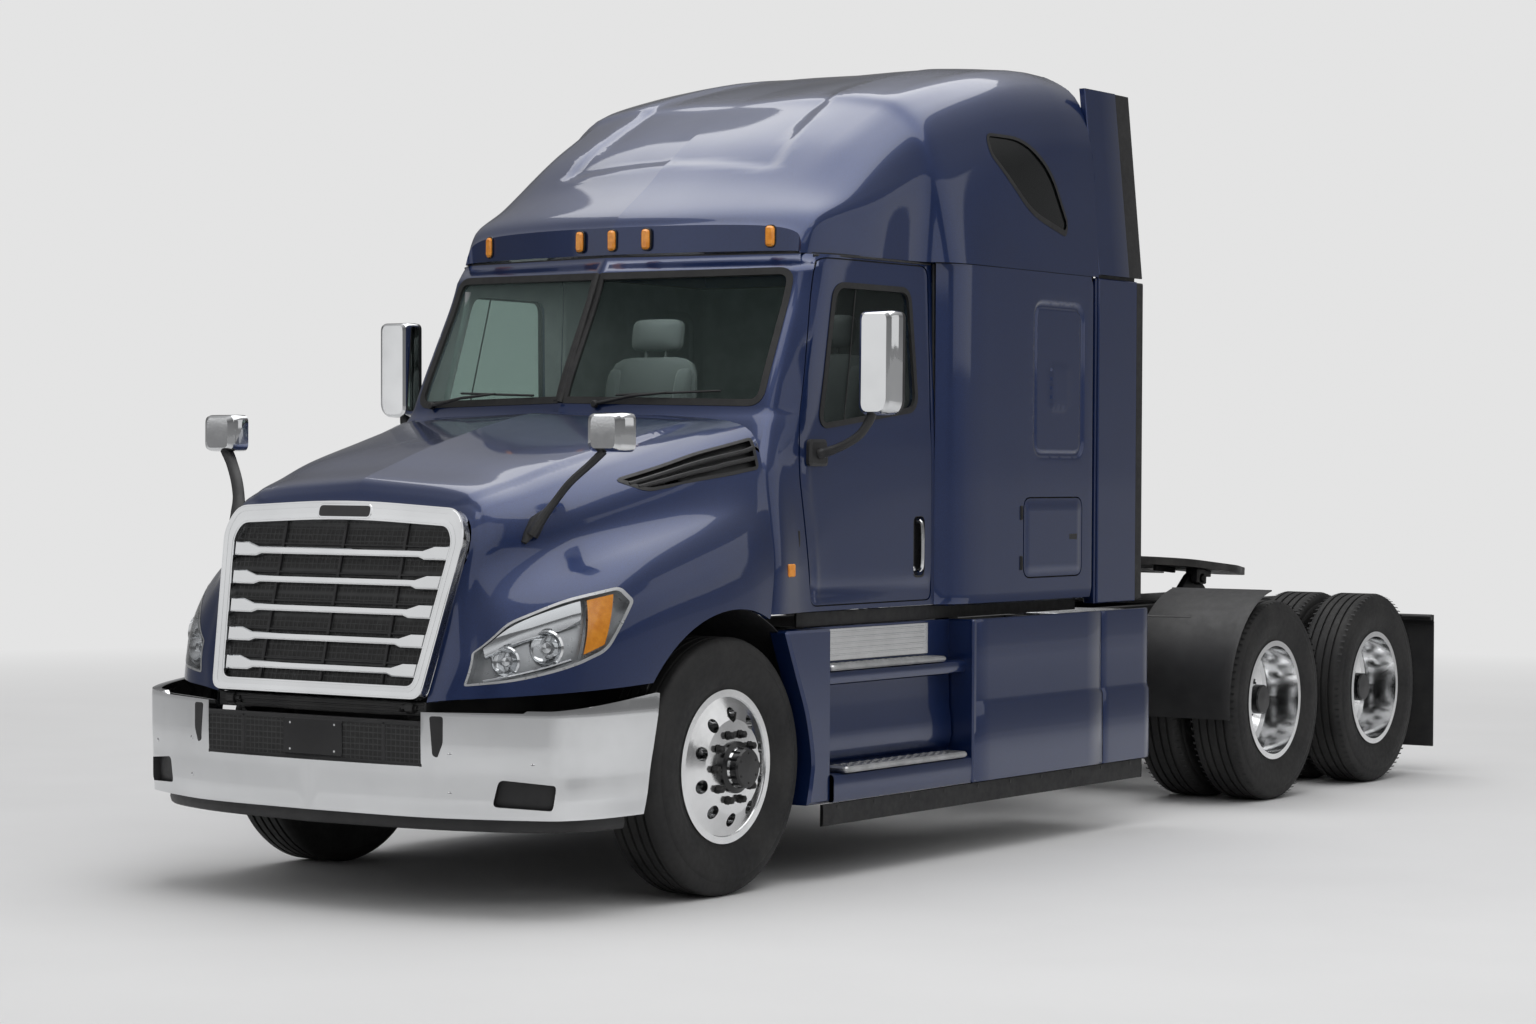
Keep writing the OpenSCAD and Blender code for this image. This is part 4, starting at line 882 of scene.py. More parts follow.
# Floor and the panel between cab and sleeper
floor = Shape()
floor.box((-1050, 372, CAB_Z + 4), (1050, 1748, CAB_Z + 56), 6)
floor.box((-1120, 1850, CAB_Z + 4), (1120, 3095, CAB_Z + 56), 6)
floor.box((-1040, 1700, CAB_Z + 4), (1040, 1900, CAB_Z + 56), 6)
make(floor, "cab_floor", "chassis", DARK_TRIM)

glass = Shape()
glass.patch(lambda u, z: cab(u, z, -10), on_front(dense(grown(PANE, 6))), (), 70, 5)
glass.both()
make(glass, "windshield_glass", "chassis", GLASS, ["windshield"])
gasket = Shape()
gasket.patch(lambda u, z: cab(u, z, 3), on_front(dense(grown(PANE, 16), 40)), [on_front(dense(grown(PANE, -15), 40))],
             300, 18)
gasket.both()
gasket.box((-8, 304, 2090), (8, 312, 2100), 1)
a, b = cab(0, 2085), cab(0, 2672)
gasket.tube([(0, a[1] - 2, a[2]), (0, (a[1] + b[1]) / 2 - 2, (a[2] + b[2]) / 2), (0, b[1] - 2, b[2])], 13, 10)
make(gasket, "windshield_gasket", "chassis", RUBBER)


# Doors
def door_half(name, body, mirror_x, nodes):
    """One cab door: skin, seals, glass, handle, trim and hinges."""
    door = Shape()
    outline = on_side(dense(grown(DOOR, -6)))
    pull = fillet([(1560, 1305), (1660, 1305), (1660, 1580), (1560, 1580)], 34, 5)
    door.patch(door_surface, outline, [on_side(dense(WINDOW)), on_side(dense(pull))], 40, 30, 0, 1, rim_mat=0)
    make(door, name + "_door", body, [PAINT, PAINTED_LIGHT_TRIM], nodes[:1], mirror_x=mirror_x)

    rubber = Shape()
    rubber.patch(lambda u, z: cab(u, z, 2.5), on_side(dense(grown(WINDOW, 17), 40)),
                 [on_side(dense(grown(WINDOW, -9), 40))], 300, 14)
    rubber.patch(lambda u, z: cab(u, z, -8), on_side(dense([(1000, 1992), (1006, 1992), (1152, 2612), (1146, 2612)])),
                 (), 300, 5)
    make(rubber, name + "_window_gasket", body, RUBBER, mirror_x=mirror_x)

    pane = Shape()
    pane.patch(lambda u, z: cab(u, z, -14), on_side(dense(grown(WINDOW, 5))), (), 80, 5)
    make(pane, name + "_window", body, SIDE_GLASS, nodes[1:2], mirror_x=mirror_x)

    handle = Shape()
    handle.patch(lambda u, z: cab(u, z, -26), on_side(dense(grown(pull, 6))), (), 60, 6, 0)
    rows = [[cab_side(y, z, d) for y, z in dense(pull, 20)] for d in (-27, 1.5)]
    handle.grid(rows, 0, closed=True)
    handle.patch(lambda u, z: cab(u, z, 2), on_side(dense(grown(pull, 7), 30)), [on_side(dense(grown(pull, -3), 30))],
                 300, 4, 0)
    grip = [cab_side(1622, 1325, -12), cab_side(1622, 1345, 10), cab_side(1622, 1440, 14), cab_side(1622, 1540, 10),
            cab_side(1622, 1562, -12)]
    handle.tube([spline(grip, k / 4) for k in range(17)], 9, 10, 1)
    lock = cab_side(1590, 1338, -20)
    handle.disc(11, lock, 0, 12, 20, 0, 2, 1)
    make(handle, name + "_door_handle", body, [GLOSS_BLACK, CHROME], mirror_x=mirror_x)

    inner = Shape()
    inner.box((1010, 900, 1560), (1062, 1500, 1620), 16)
    inner.box((1035, 800, 1300), (1066, 1600, 1480), 10)
    inner.tube([(1022, 1000, 1840), (1002, 1020, 1840), (1002, 1220, 1840), (1022, 1240, 1840)], 10, 8, 0)
    make(inner, name + "_door_trim", body, PAINTED_LIGHT_TRIM, mirror_x=mirror_x)

    hinge = Shape()
    for z in (1290, 1490):
        hinge.disc(12, (1112, 598, z), -36, 36, 16, 2, 2)
        hinge.box((1094, 598, z - 36), (1104, 690, z + 36), 2)
    make(hinge, name + "_door_hinges", body, BLACK_STEEL, mirror_x=mirror_x)


def cab_side(y, z, out=0.0):
    return cab(cab_side_u(y, z), z, out)


def door_surface(u, z):
    """The door's skin: a soft crease along its waist, and a channel along its lower front edge."""
    p = cab(u, z)
    y = p[1]
    out = 5 * step(1240, 1330, z) * step(2010, 1900, z) - 2.5
    out -= 5 * math.exp(-((z - (1242 + (y - 700) * 0.02)) / 9.0) ** 2)
    front = 612 + abs(z - 1790) * 0.1467
    out += 4 * math.exp(-((y - front - 60) / 24.0) ** 2) * step(1900, 1750, z)
    return cab(u, z, out)


door_half("left", "left_door", False, ["door_left", "door_glass_left"])
door_half("right", "right_door", True, ["door_right", "door_glass_right"])

# Drip rail over the door, side marker, wipers
trim = Shape()
rail = [cab_side(y, z, 4) for y, z in ((890, 2742), (1100, 2746), (1400, 2746), (1735, 2744))]
trim.tube([spline(rail, k / 4) for k in range(13)], 5, 8)
trim.both()
make(trim, "drip_rails", "chassis", PLASTIC)

markers = Shape()
for side in (1, -1):
    spot = cab(cab_side_u(478, 1356), 1356, 0)
    body = Shape()
    body.box((spot[0] - 8, 452, 1328), (spot[0] + 12, 504, 1384), 9)
    markers.join(body, (lambda p: p) if side > 0 else (lambda p: (-p[0], p[1], p[2])), turned_over=side < 0)
make(markers, "side_markers", "chassis", AMBER)


def wiper(root_x, tip_x, tip_z, lift):
    arm = Shape()
    root = cab(cab_front_u(abs(root_x), 2078), 2078, 16)
    tip = cab(cab_front_u(abs(tip_x), tip_z), tip_z, 20)
    sx = 1 if root_x >= 0 else -1
    tx = 1 if tip_x >= 0 else -1
    root, tip = (root[0] * sx, root[1], root[2]), (tip[0] * tx, tip[1], tip[2])
    middle = mix(root, tip, 0.5)
    arm.tube([root, (middle[0], middle[1] - 14, middle[2] + lift), tip], [9, 7, 5], 8)
    arm.disc(17, root, -14, 10, 16, 1, 4)
    blade = []
    for k in range(9):
        x = tip_x - sx * 250 + sx * 500 * k / 8
        z = tip_z - 10 + 16 * k / 8
        x = max(-930, min(930, x))
        p = cab(cab_front_u(abs(x), z), z, 8)
        blade.append((p[0] * (1 if x >= 0 else -1), p[1], p[2]))
    arm.tube(blade, 6, 6, 0)
    return arm


wipers = Shape()
wipers.join(wiper(180, 520, 2128, 8))
wipers.join(wiper(-860, -430, 2128, 8))
make(wipers, "wipers", "chassis", PLASTIC)


# ---------------------------------------------------------------- sleeper
SLEEPER = [(1105, 1750), (1194, 1835), (1202, 2400), (1202, 3100), (1157, 3150), (0, 3150)]
SLEEPER_U = (0, 120, 700, 1400, 1470, 2627)
RECESS = fillet([(2500, 1850), (3000, 1850), (3000, 2610), (2500, 2610)], 90, 6)
SMALL = fillet([(2667, 2087), (2844, 2087), (2844, 2300), (2667, 2300)], 30, 4)
HATCH = fillet([(2405, 1275), (2985, 1275), (2985, 1665), (2405, 1665)], 62, 6)


def sleeper(u, z, out=0.0):
    x, y = rounded(SLEEPER, table_index(u, SLEEPER_U), (0, 0.42, 0.2, 0.06, 0.3, 0))
    if 250 < u < 1430:
        depth = edge_distance((y, z), RECESS)
        if depth > -30:
            out -= 12 * step(-8, 22, depth) - 7 * step(26, 44, depth)
            out += 9 * step(-4, 10, edge_distance((y, z), SMALL))
    out -= 7 * math.exp(-((z - 1182) / 8.0) ** 2)
    if out:
        a, b = (rounded(SLEEPER, table_index(u + d, SLEEPER_U), (0, 0.42, 0.2, 0.06, 0.3, 0)) for d in (3, -3))
        n = math.dist(a, b)
        return (x + (a[1] - b[1]) / n * out, y - (a[0] - b[0]) / n * out, z)
    return (x, y, z)


def sleeper_u(y):
    return solve(lambda u: sleeper(u, 1700)[1], 0, 1469, y)


def on_sleeper(outline):
    return [(sleeper_u(y), z) for y, z in outline]


walls = Shape()
extra = [(sleeper_u(y), z) for y, z in dense(grown(RECESS, 8), 30) + dense(grown(RECESS, -8), 30)
         + dense(grown(RECESS, -22), 30) + dense(grown(RECESS, -32), 30) + dense(grown(RECESS, -46), 30)
         + dense(grown(SMALL, 5), 20) + dense(grown(SMALL, -11), 20)]
walls.patch(sleeper, dense([(0, CAB_Z), (2627, CAB_Z), (2627, SEAM - 3), (0, SEAM - 3)], 90),
        [on_sleeper(dense(HATCH, 40))],
            46, 34, 0, 1, rim_mat=0, extra=extra)
walls.both()
make(walls, "sleeper_walls", "chassis", [PAINT, PAINTED_LIGHT_TRIM], ["sleeper_shell"])
strip = Shape()
strip.patch(lambda u, z: sleeper(u, z, -9), dense([(0, SEAM - 24), (2627, SEAM - 24), (2627, SEAM + 4),
        (0, SEAM + 4)]),
            (), 400, 6)
strip.patch(lambda u, z: sleeper(u, z, -18), on_sleeper(dense(grown(HATCH, 16), 40)),
            [on_sleeper(dense(grown(HATCH, -16), 40))], 300, 8)
strip.both()
strip.box((1086, 1744, CAB_Z + 6), (1096, 1758, SEAM - 6), 2)
strip.box((-1096, 1744, CAB_Z + 6), (-1086, 1758, SEAM - 6), 2)
make(strip, "sleeper_seals", "chassis", RUBBER)


def luggage(name, body, mirror_x, node):
    lid = Shape()
    lid.patch(lambda u, z: sleeper(u, z, 0.5 + 3 * step(20, 46, edge_distance((sleeper(u, z)[1], z), HATCH))),
              on_sleeper(dense(grown(HATCH, -7), 40)), (), 30, 30, 0, 1)
    lid.box((1196, 2850, 1455), (1206, 2930, 1485), 4, 2)
    make(lid, name + "_luggage_lid", body, [PAINT, PAINTED_LIGHT_TRIM, PLASTIC], [node], mirror_x=mirror_x)
    hinge = Shape()
    for z in (1350, 1590):
        hinge.disc(11, (1199, 2387, z), -34, 34, 16, 2, 2)
        hinge.box((1181, 2387, z - 34), (1191, 2452, z + 34), 2)
    make(hinge, name + "_luggage_hinges", body, BLACK_STEEL, mirror_x=mirror_x)


luggage("left", "left_luggage_door", False, "luggage_door_left")
luggage("right", "right_luggage_door", True, "luggage_door_right")

# Ribs on the sleeper's back wall
back = Shape()
for x in (-760, -380, 0, 380, 760):
    back.box((x - 26, 3146, 1290), (x + 26, 3158, 2660), 5)
make(back, "rear_wall_ribs", "chassis", PAINT)


# ---------------------------------------------------------------- roof
ROOF = [
    (690, 0.30, 165, [(955, SEAM), (952, 2800), (930, 2850), (800, 2880), (420, 2890), (0, 2890)]),
    (735, 0.30, 170, [(982, SEAM), (985, 2880), (965, 2935), (800, 2955), (420, 2960), (0, 2960)]),
    (900, 0.30, 160, [(1018, SEAM), (1020, 2950), (985, 3030), (800, 3085), (420, 3105), (0, 3105)]),
    (1200, 0.15, 110, [(1060, SEAM), (1058, 3020), (985, 3190), (800, 3290), (430, 3330), (0, 3330)]),
    (1600, 0.05, 50, [(1085, SEAM), (1085, 3110), (1015, 3350), (830, 3470), (440, 3520), (0, 3515)]),
    (1835, 0, 0, [(1190, SEAM), (1130, 3160), (1040, 3430), (850, 3560), (440, 3610), (0, 3600)]),
    (2400, 0, 0, [(1198, SEAM), (1160, 3290), (1075, 3580), (880, 3700), (440, 3745), (0, 3735)]),
    (2850, 0, 0, [(1198, SEAM), (1165, 3350), (1085, 3645), (890, 3765), (440, 3806), (0, 3799)]),
    (3148, 0, 0, [(1198, SEAM), (1165, 3360), (1080, 3655), (880, 3770), (440, 3812), (0, 3806)])]
ROOF_PANEL = fillet([(-640, 1120), (640, 1120), (560, 1600), (520, 2500), (440, 3000), (-440, 3000), (-520, 2500),
                     (-560, 1600)], 110, 6)
ROOF_WINDOW = fillet([(2190, 3384), (2190, 3290), (2500, 3030), (2830, 2945), (2850, 3000), (2700, 3260),
        (2480, 3384)],
                     (40, 60, 120, 60, 40, 160, 120), 5)


def roof_side(w, s):
    """w runs 0 to 5 from the seam to the crown, s is the station."""
    ring = []
    for y0, lean, bow, points in ROOF:
        ring.append([(x, y0 + lean * (z - SEAM) + bow * min(1, x / 1000) ** 2, z) for x, z in points])
    line = [spline([r[i] for r in ring], s) for i in range(6)]
    return rounded(line, w, (0, 0.35, 0.45, 0.48, 0.5, 0))


def roof(w, s):
    x, y, z = roof_side(w, s)
    if y > 1000 and x < 720:
        z -= 20 * step(-12, 74, edge_distance((x, y), ROOF_PANEL)) * step(3000, 2300, y)
    if w > 0.5:
        ridge = 860 - 120 * step(1500, 900, y)
        z += 9 * math.exp(-((x - ridge) / 70.0) ** 2) * step(1000, 1500, y)
    z = min(z, 3813)
    return (x, y, z)


def roof_by_side(y, z):
    """The indices of the roof point that a side view shows at y and z."""
    best = None
    for i in range(0, 30):
        for j in range(20, 80):
            p = roof(i / 10, j / 10)
            d = math.hypot(p[1] - y, p[2] - z)
            if best is None or d < best[0]:
                best = (d, i / 10, j / 10)
    _, w, s = best
    for _ in range(12):
        p, a, b = roof(w, s), roof(w + 0.01, s), roof(w, s + 0.01)
        j11, j12, j21, j22 = (a[1] - p[1]) / 0.01, (b[1] - p[1]) / 0.01, (a[2] - p[2]) / 0.01, (b[2] - p[2]) / 0.01
        det = j11 * j22 - j12 * j21
        if abs(det) < 1e-6:
            break
        ey, ez = y - p[1], z - p[2]
        w += max(-0.3, min(0.3, (ey * j22 - ez * j12) / det))
        s += max(-0.3, min(0.3, (ez * j11 - ey * j21) / det))
        w, s = min(max(w, 0), 5), min(max(s, 0), 8)
    return (w, s)


ROOF_KEYS = [roof_by_side(y, z) for y, z in dense(ROOF_WINDOW, 50)]
RW, RS = 190.0, 330.0


def roof_scaled(u, v, out=0.0):
    w, s = u / RW, v / RS
    p = roof(w, s)
    if out:
        a, b = roof(min(w + 0.02, 5), s), roof(max(w - 0.02, 0), s)
        c, d = roof(w, min(s + 0.02, 8)), roof(w, max(s - 0.02, 0))
        n = Vector([i - j for i, j in zip(a, b)]).cross(Vector([i - j for i, j in zip(c, d)])).normalized()
        if n.dot(Vector((p[0], (p[1] - 2200) * 0.5, p[2] - 2400))) < 0:
            n = -n
        p = (p[0] + n.x * out, p[1] + n.y * out, p[2] + n.z * out)
    return p


window_hole = [(w * RW, s * RS) for w, s in ROOF_KEYS]
roof_skin = Shape()
lines = []
for i in range(0, 40):
    for j in range(0, 75):
        p = roof(2.0 + i * 0.075, 2.5 + j * 0.075)
        if p[1] < 3050 and abs(edge_distance((p[0], p[1]), ROOF_PANEL) - 20) < 45:
            lines.append(((2.0 + i * 0.075) * RW, (2.5 + j * 0.075) * RS))
roof_skin.patch(lambda u, v: roof_scaled(u, v), dense([(0, 0), (5 * RW, 0), (5 * RW, 8 * RS), (0, 8 * RS)][::-1], 45),
                [window_hole], 34, 0, 0, extra=lines)
for k, face in enumerate(roof_skin.f):
    roof_skin.f[k] = face[::-1]
    roof_skin.n[k] = [tuple(-c for c in n) for n in roof_skin.n[k]][::-1]
top_rows = [[roof_scaled(u, v, -52) for u in [5 * RW * i / 24 for i in range(25)]] for v in [8 * RS * j / 36 for j in
            range(37)]]
# The visor's face below the first station, and the roof's rear wall
front_edge = [roof_scaled(5 * RW * i / 24, 0) for i in range(25)]
roof_skin.grid([front_edge, [(p[0] * 0.995, p[1] - 2, SEAM + 3 + (p[2] - SEAM - 3) * 0.08) for p in front_edge],
                [(p[0] * 0.98, p[1] + 60, SEAM + 3) for p in front_edge]][::-1])
rear = [roof_scaled(5 * RW * i / 24, 8 * RS) for i in range(25)]
roof_skin.grid([rear, [(p[0], 3148, SEAM + 3) for p in rear]])
roof_skin.both()
make(roof_skin, "roof_skin", "chassis", PAINT, ["roof_cap"])

headliner = Shape()
headliner.grid([row[2:] for row in top_rows[3:-1]], 0)
headliner.both()
make(headliner, "roof_lining", "chassis", PAINTED_LIGHT_TRIM)

dark = Shape()
dark.patch(lambda u, v: roof_scaled(u, v, -6), grown(window_hole, 4), (), 60, 0)
dark.patch(lambda u, v: roof_scaled(u, v, 1.5), grown(window_hole, 5), [grown(window_hole, -5)], 300, 0, 1)
for k in range(len(dark.f)):
    dark.f[k] = dark.f[k][::-1]
    dark.n[k] = [tuple(-c for c in n) for n in dark.n[k]][::-1]
dark.both()
make(dark, "roof_side_windows", "chassis", [DARK_GLASS, RUBBER], ["roof_windows"])

lamps = Shape()
for x in (-802, -188, 0, 188, 802):
    y = 729 + 165 * (x / 1000) ** 2
    turn = math.atan(0.00033 * x)
    oval = fillet([(-21, -46), (21, -46), (21, 46), (-21, 46)], 20, 6)

    def stand(q, x=x, y=y, turn=turn):
        dx, dy, dz = q
        return (x + dx * math.cos(turn), y + dx * math.sin(turn) + dy, 2830 + dz)
    lamps.prism(oval, 1, -20, 16, 9, 0, at=stand)
    lamps.prism(grown(oval, 6), 1, -5, 16, 2, 1, at=stand)
make(lamps, "marker_lamps", "chassis", [AMBER, GLOSS_BLACK])


# ---------------------------------------------------------------- hood
HOOD = [
    (-1240, 0.256, 0, [(565, 856), (585, 1000), (600, 1150), (625, 1320), (662, 1520), (610, 1622), (0, 1652)]),
    (-1205, 0.256, 20, [(665, 868), (700, 1000), (692, 1100), (664, 1300), (690, 1540), (620, 1662), (0, 1700)]),
    (-1120, 0.22, 40, [(865, 882), (880, 1050), (845, 1170), (722, 1360), (732, 1560), (640, 1702), (0, 1742)]),
    (-900, 0.15, 50, [(1065, 900), (1075, 1120), (1005, 1300), (835, 1425), (805, 1605), (680, 1748), (0, 1792)]),
    (-600, 0.08, 60, [(1165, 920), (1172, 1220), (1105, 1410), (935, 1505), (885, 1680), (720, 1822), (0, 1866)]),
    (-200, 0.03, 80, [(1207, 950), (1210, 1300), (1152, 1500), (1022, 1605), (965, 1785), (770, 1902), (0, 1950)]),
    (60, 0.06, 90, [(1215, 1000), (1215, 1360), (1168, 1548), (1068, 1690), (1005, 1885), (810, 1968), (0, 2012)]),
    (225, 0.13, 100, [(1200, 1165), (1200, 1405), (1155, 1575), (1102, 1790), (1035, 1972), (850, 2022), (0, 2046)])]
HW, HS = 210.0, 230.0
HOOD_PANEL_X = (430, 560, 600, 640, 690, 740, 780, 800)


def hood_raw(w, s):
    rings = []
    for y0, lean, bow, points in HOOD:
        rings.append([(x, y0 + lean * (z - 856) - bow * (1 - min(1, x / 1000) ** 2), z) for x, z in points])
    line = [spline([r[i] for r in rings], s) for i in range(7)]
    return rounded(line, w, (0, 0.40, 0.45, 0.48, 0.42, 0.45, 0))


def hood(w, s):
    x, y, z = hood_raw(w, s)
    if w > 3.6:
        edge = spline([(v,) for v in HOOD_PANEL_X], s)[0]
        z += 11 * step(edge + 26, edge - 26, x) * step(0.25, 1.2, s) * step(6.95, 6.4, s) - 5
    return (x, y, z)


def hood_at(u, v, out=0.0):
    w, s = u / HW, v / HS
    p = hood(w, s)
    if out:
        a, b = hood(min(w + 0.02, 6), s), hood(max(w - 0.02, 0), s)
        c, d = hood(w, min(s + 0.02, 7)), hood(w, max(s - 0.02, 0))
        n = Vector([i - j for i, j in zip(c, d)]).cross(Vector([i - j for i, j in zip(a, b)])).normalized()
        p = (p[0] + n.x * out, p[1] + n.y * out, p[2] + n.z * out)
    return p


HOOD_TABLE = [(i / 12, j / 12, hood_raw(i / 12, j / 12)) for i in range(73) for j in range(85)]


def hood_near(point):
    """The surface indices nearest to a point in space."""
    _, w, s = min((math.dist(p, point), w, s) for w, s, p in HOOD_TABLE)
    size = 0.06
    for _ in range(30):
        best = min((math.dist(hood_raw(min(max(w + i * size, 0), 6), min(max(s + j * size, 0), 7)), point), i, j)
                   for i in (-1, 0, 1) for j in (-1, 0, 1))
        if best[1] == best[2] == 0:
            size /= 2
        w, s = min(max(w + best[1] * size, 0), 6), min(max(s + best[2] * size, 0), 7)
    return (w * HW, s * HS)


ARCH_R = 662.0
AXLE_Z = 544.0


def in_arch(w, s):
    p = hood_raw(w, s)
    return math.hypot(p[1], p[2] - AXLE_Z) < ARCH_R


arch_from = solve(lambda s: 1 if in_arch(0, s) else 0, 3.0, 5.0, 0.5)
arch_to = solve(lambda s: 0 if in_arch(0, s) else 1, 6.0, 7.0, 0.5)
notch = []
for k in range(31):
    s = arch_from + (arch_to - arch_from) * (0.5 - 0.5 * math.cos(math.pi * k / 30))
    w = solve(lambda w: 0 if in_arch(w, s) else 1, 0.0, 3.0, 0.5)
    notch.append((w * HW, s * HS))
outline = [(0, arch_from * HS * k / 12) for k in range(12)] + notch + [
    (0, (arch_to + (7 - arch_to) * k / 3) * HS) for k in range(1, 4)] + [
    (6 * HW * k / 30, 7 * HS) for k in range(1, 31)] + [(6 * HW, 7 * HS * (1 - k / 34)) for k in range(1, 35)] + [
    (6 * HW * (1 - k / 30), 0) for k in range(1, 30)]
LAMP_POINTS = [(722, -1205, 930), (735, -1170, 1060), (835, -1060, 1172), (965, -875, 1252), (1085, -668, 1305),
               (1148, -640, 1262), (1120, -780, 1068), (1010, -935, 992), (880, -1075, 945)]
lamp_hole = fillet([hood_near(p) for p in LAMP_POINTS], (14, 20, 40, 60, 22, 14, 26, 60, 60), 4)
VENT_POINTS = [(930, -420, 1800), (1000, 0, 1898), (1050, 330, 1935), (1092, 318, 1800), (1030, -40, 1752),
               (985, -300, 1722)]
vent_hole = fillet([hood_near(p) for p in VENT_POINTS], (16, 60, 14, 14, 60, 30), 4)
hood_skin = Shape()
ridge_points = []
for j in range(0, 64):
    s = 0.2 + j * 0.105
    edge = spline([(v,) for v in HOOD_PANEL_X], s)[0]
    for d in (-28, -14, 0, 14, 28):
        ridge_points.append((solve(lambda w: -hood_raw(w, s)[0], 3.7, 6, -(edge + d)) * HW, s * HS))
hood_skin.patch(lambda u, v: hood_at(u, v), outline, [dense(lamp_hole, 40), dense(vent_hole, 40)], 27, 0, 0,
                extra=ridge_points)


def outward(shape, inside_point):
    """Turns a shape's faces so that they look away from a point inside."""
    for k, face in enumerate(shape.f):
        if k not in shape.n:
            continue
        a, b, c = (Vector(shape.v[i]) for i in face[:3])
        n = (b - a).cross(c - a)
        if n.dot(a - Vector(inside_point)) < 0:
            shape.f[k] = face[::-1]
            shape.n[k] = shape.n[k][::-1]
        n = -n if n.dot(a - Vector(inside_point)) < 0 else n
        if n.dot(Vector(shape.n[k][0])) < 0:
            shape.n[k] = [tuple(-c for c in m) for m in shape.n[k]]
    return shape


outward(hood_skin, (0, 0, 1000))
# Returned edges along the arch, the lower front and the rear
RETURN = 24
under = Shape()
for run in (notch, [(6 * HW * k / 30, 7 * HS) for k in range(0, 31)], outline[:13]):
    face, inner = [hood_at(u, v) for u, v in run], []
    for (u, v), p in zip(run, face):
        q = hood_at(u, v, 1)
        n = [b - a for a, b in zip(q, p)]
        inner.append(tuple(c + RETURN * e for c, e in zip(p, n)) if math.dist(q, p) > 0.5 else p)
    under.grid([face, inner])
under.both()
hood_skin.both()
hood_skin.join(under)
make(hood_skin, "hood_skin", "hood", [PAINT, PLASTIC], ["hood_shell"])

# The black liner over each front wheel, and the hood's inner skin
liner = Shape()
liner.turned([(ARCH_R + 4, 620), (ARCH_R + 4, 1160), (ARCH_R + 8, 1160), (ARCH_R + 8, 620)], (0, 0, AXLE_Z), 40, 0,
             0, True, (math.radians(28), math.radians(148)))
liner.both()
make(liner, "wheel_arch_liners", "hood", PLASTIC)
inner = Shape()
rows = []
for j in range(2, 29):
    s = j / 4
    rows.append([tuple(c - 34 * d for c, d in zip(hood_raw(w / 4, s), (0.55, 0, 0.85)))
                 for w in range(10, 25)])
inner.grid(rows)
inner.both()
make(inner, "hood_inner_skin", "hood", PLASTIC)

vents = Shape()
vents.patch(lambda u, v: hood_at(u, v, -26), grown(vent_hole, 3), (), 60, 0)
vents.patch(lambda u, v: hood_at(u, v, 2), dense(grown(vent_hole, 9), 40), [dense(grown(vent_hole, -7), 40)], 300, 0)
outward(vents, (0, 0, 1300))
left, right = [hood_near(p) for p in VENT_POINTS[:3]], [hood_near(p) for p in VENT_POINTS[3:][::-1]]
for share in (0.36, 0.68):
    path = [mix(spline(left, k / 6), spline(right, k / 6), share) for k in range(13)]
    vents.tube([hood_at(u, v, -6) for u, v in path], 11, 8)
rows = [[hood_at(u, v, d) for u, v in vent_hole] for d in (1, -27)]
vents.grid(rows, 0, closed=True)
vents.both()
make(vents, "hood_side_vents", "hood", PLASTIC)


# Headlights
LAMP_LOW = [hood_near(LAMP_POINTS[i]) for i in (0, 8, 7, 6)]
LAMP_HIGH = [hood_near(LAMP_POINTS[i]) for i in (1, 2, 3, 4)]


def lamp_uv(a, b):
    """A point of the lamp opening: a from its inner tip to its outer end, b from its lower to its upper edge."""
    return mix(spline(LAMP_LOW, a * 3), spline(LAMP_HIGH, a * 3), b)


lens = Shape()
lens.patch(lambda u, v: hood_at(u, v, 0.5), dense(grown(lamp_hole, -1), 40), (), 40, 0)
outward(lens, (0, 0, 1000))
lens.both()
make(lens, "headlight_lenses", "hood", LENS, ["headlights"])

pod = Shape()
pod.patch(lambda u, v: hood_at(u, v, -58), dense(grown(lamp_hole, 4), 40), (), 40, 0, 2)
outward(pod, (0, 0, 1000))
pod.grid([[hood_at(u, v, d) for u, v in dense(lamp_hole, 40)] for d in (0, -60)], 2, closed=True)
rim = Shape()
rim.patch(lambda u, v: hood_at(u, v, 1.2), dense(grown(lamp_hole, 6), 30), [dense(grown(lamp_hole, -7), 30)], 300,
        0, 2)
outward(rim, (0, 0, 1000))
pod.join(rim)
# Chrome brow along the upper edge, and an amber turn lamp at the outer end
brow = [[hood_at(*lamp_uv(a, b), d) for a in [0.10 + 0.66 * k / 12 for k in range(13)]] for b, d in
        ((0.93, -4), (0.78, -10), (0.66, -22), (0.60, -40))]
pod.grid(brow, 1)
corner = [[hood_at(*lamp_uv(a, b), -7) for a in [0.80 + 0.17 * k / 4 for k in range(5)]] for b in
          [0.10 + 0.82 * k / 6 for k in range(7)]]
pod.grid(corner, 3)
divider = [[hood_at(*lamp_uv(0.785, b), d) for b in [0.04 + 0.9 * k / 8 for k in range(9)]] for d in (-4, -42)]
pod.grid(divider, 2)
for a, b, size in ((0.27, 0.36, 56), (0.55, 0.38, 66)):
    u, v = lamp_uv(a, b)
    base = Vector(hood_at(u, v, -46))
    n = Vector(hood_at(u, v, 1)) - Vector(hood_at(u, v, 0))
    ahead = (n.normalized() * 0.45 + Vector((0.12, -1, -0.03)).normalized()).normalized()
    side = ahead.cross(Vector((0, 0, 1))).normalized()
    up = side.cross(ahead)
    rings = []
    for r, d in ((1.12, 20), (1.0, 26), (0.96, 22), (0.72, 4), (0.40, -6), (0.34, 10), (0.30, 18), (0.0001, 22)):
        rings.append([tuple(base + ahead * d + (side * math.cos(t) + up * math.sin(t)) * size * r)
                      for t in [2 * math.pi * k / 28 for k in range(28)]])
    pod.grid(rings, 1, closed=True)
bars = [hood_at(*lamp_uv(a, 0.08), -20) for a in [0.12 + 0.6 * k / 10 for k in range(11)]]
pod.tube(bars, 7, 8, 1)
pod.both()
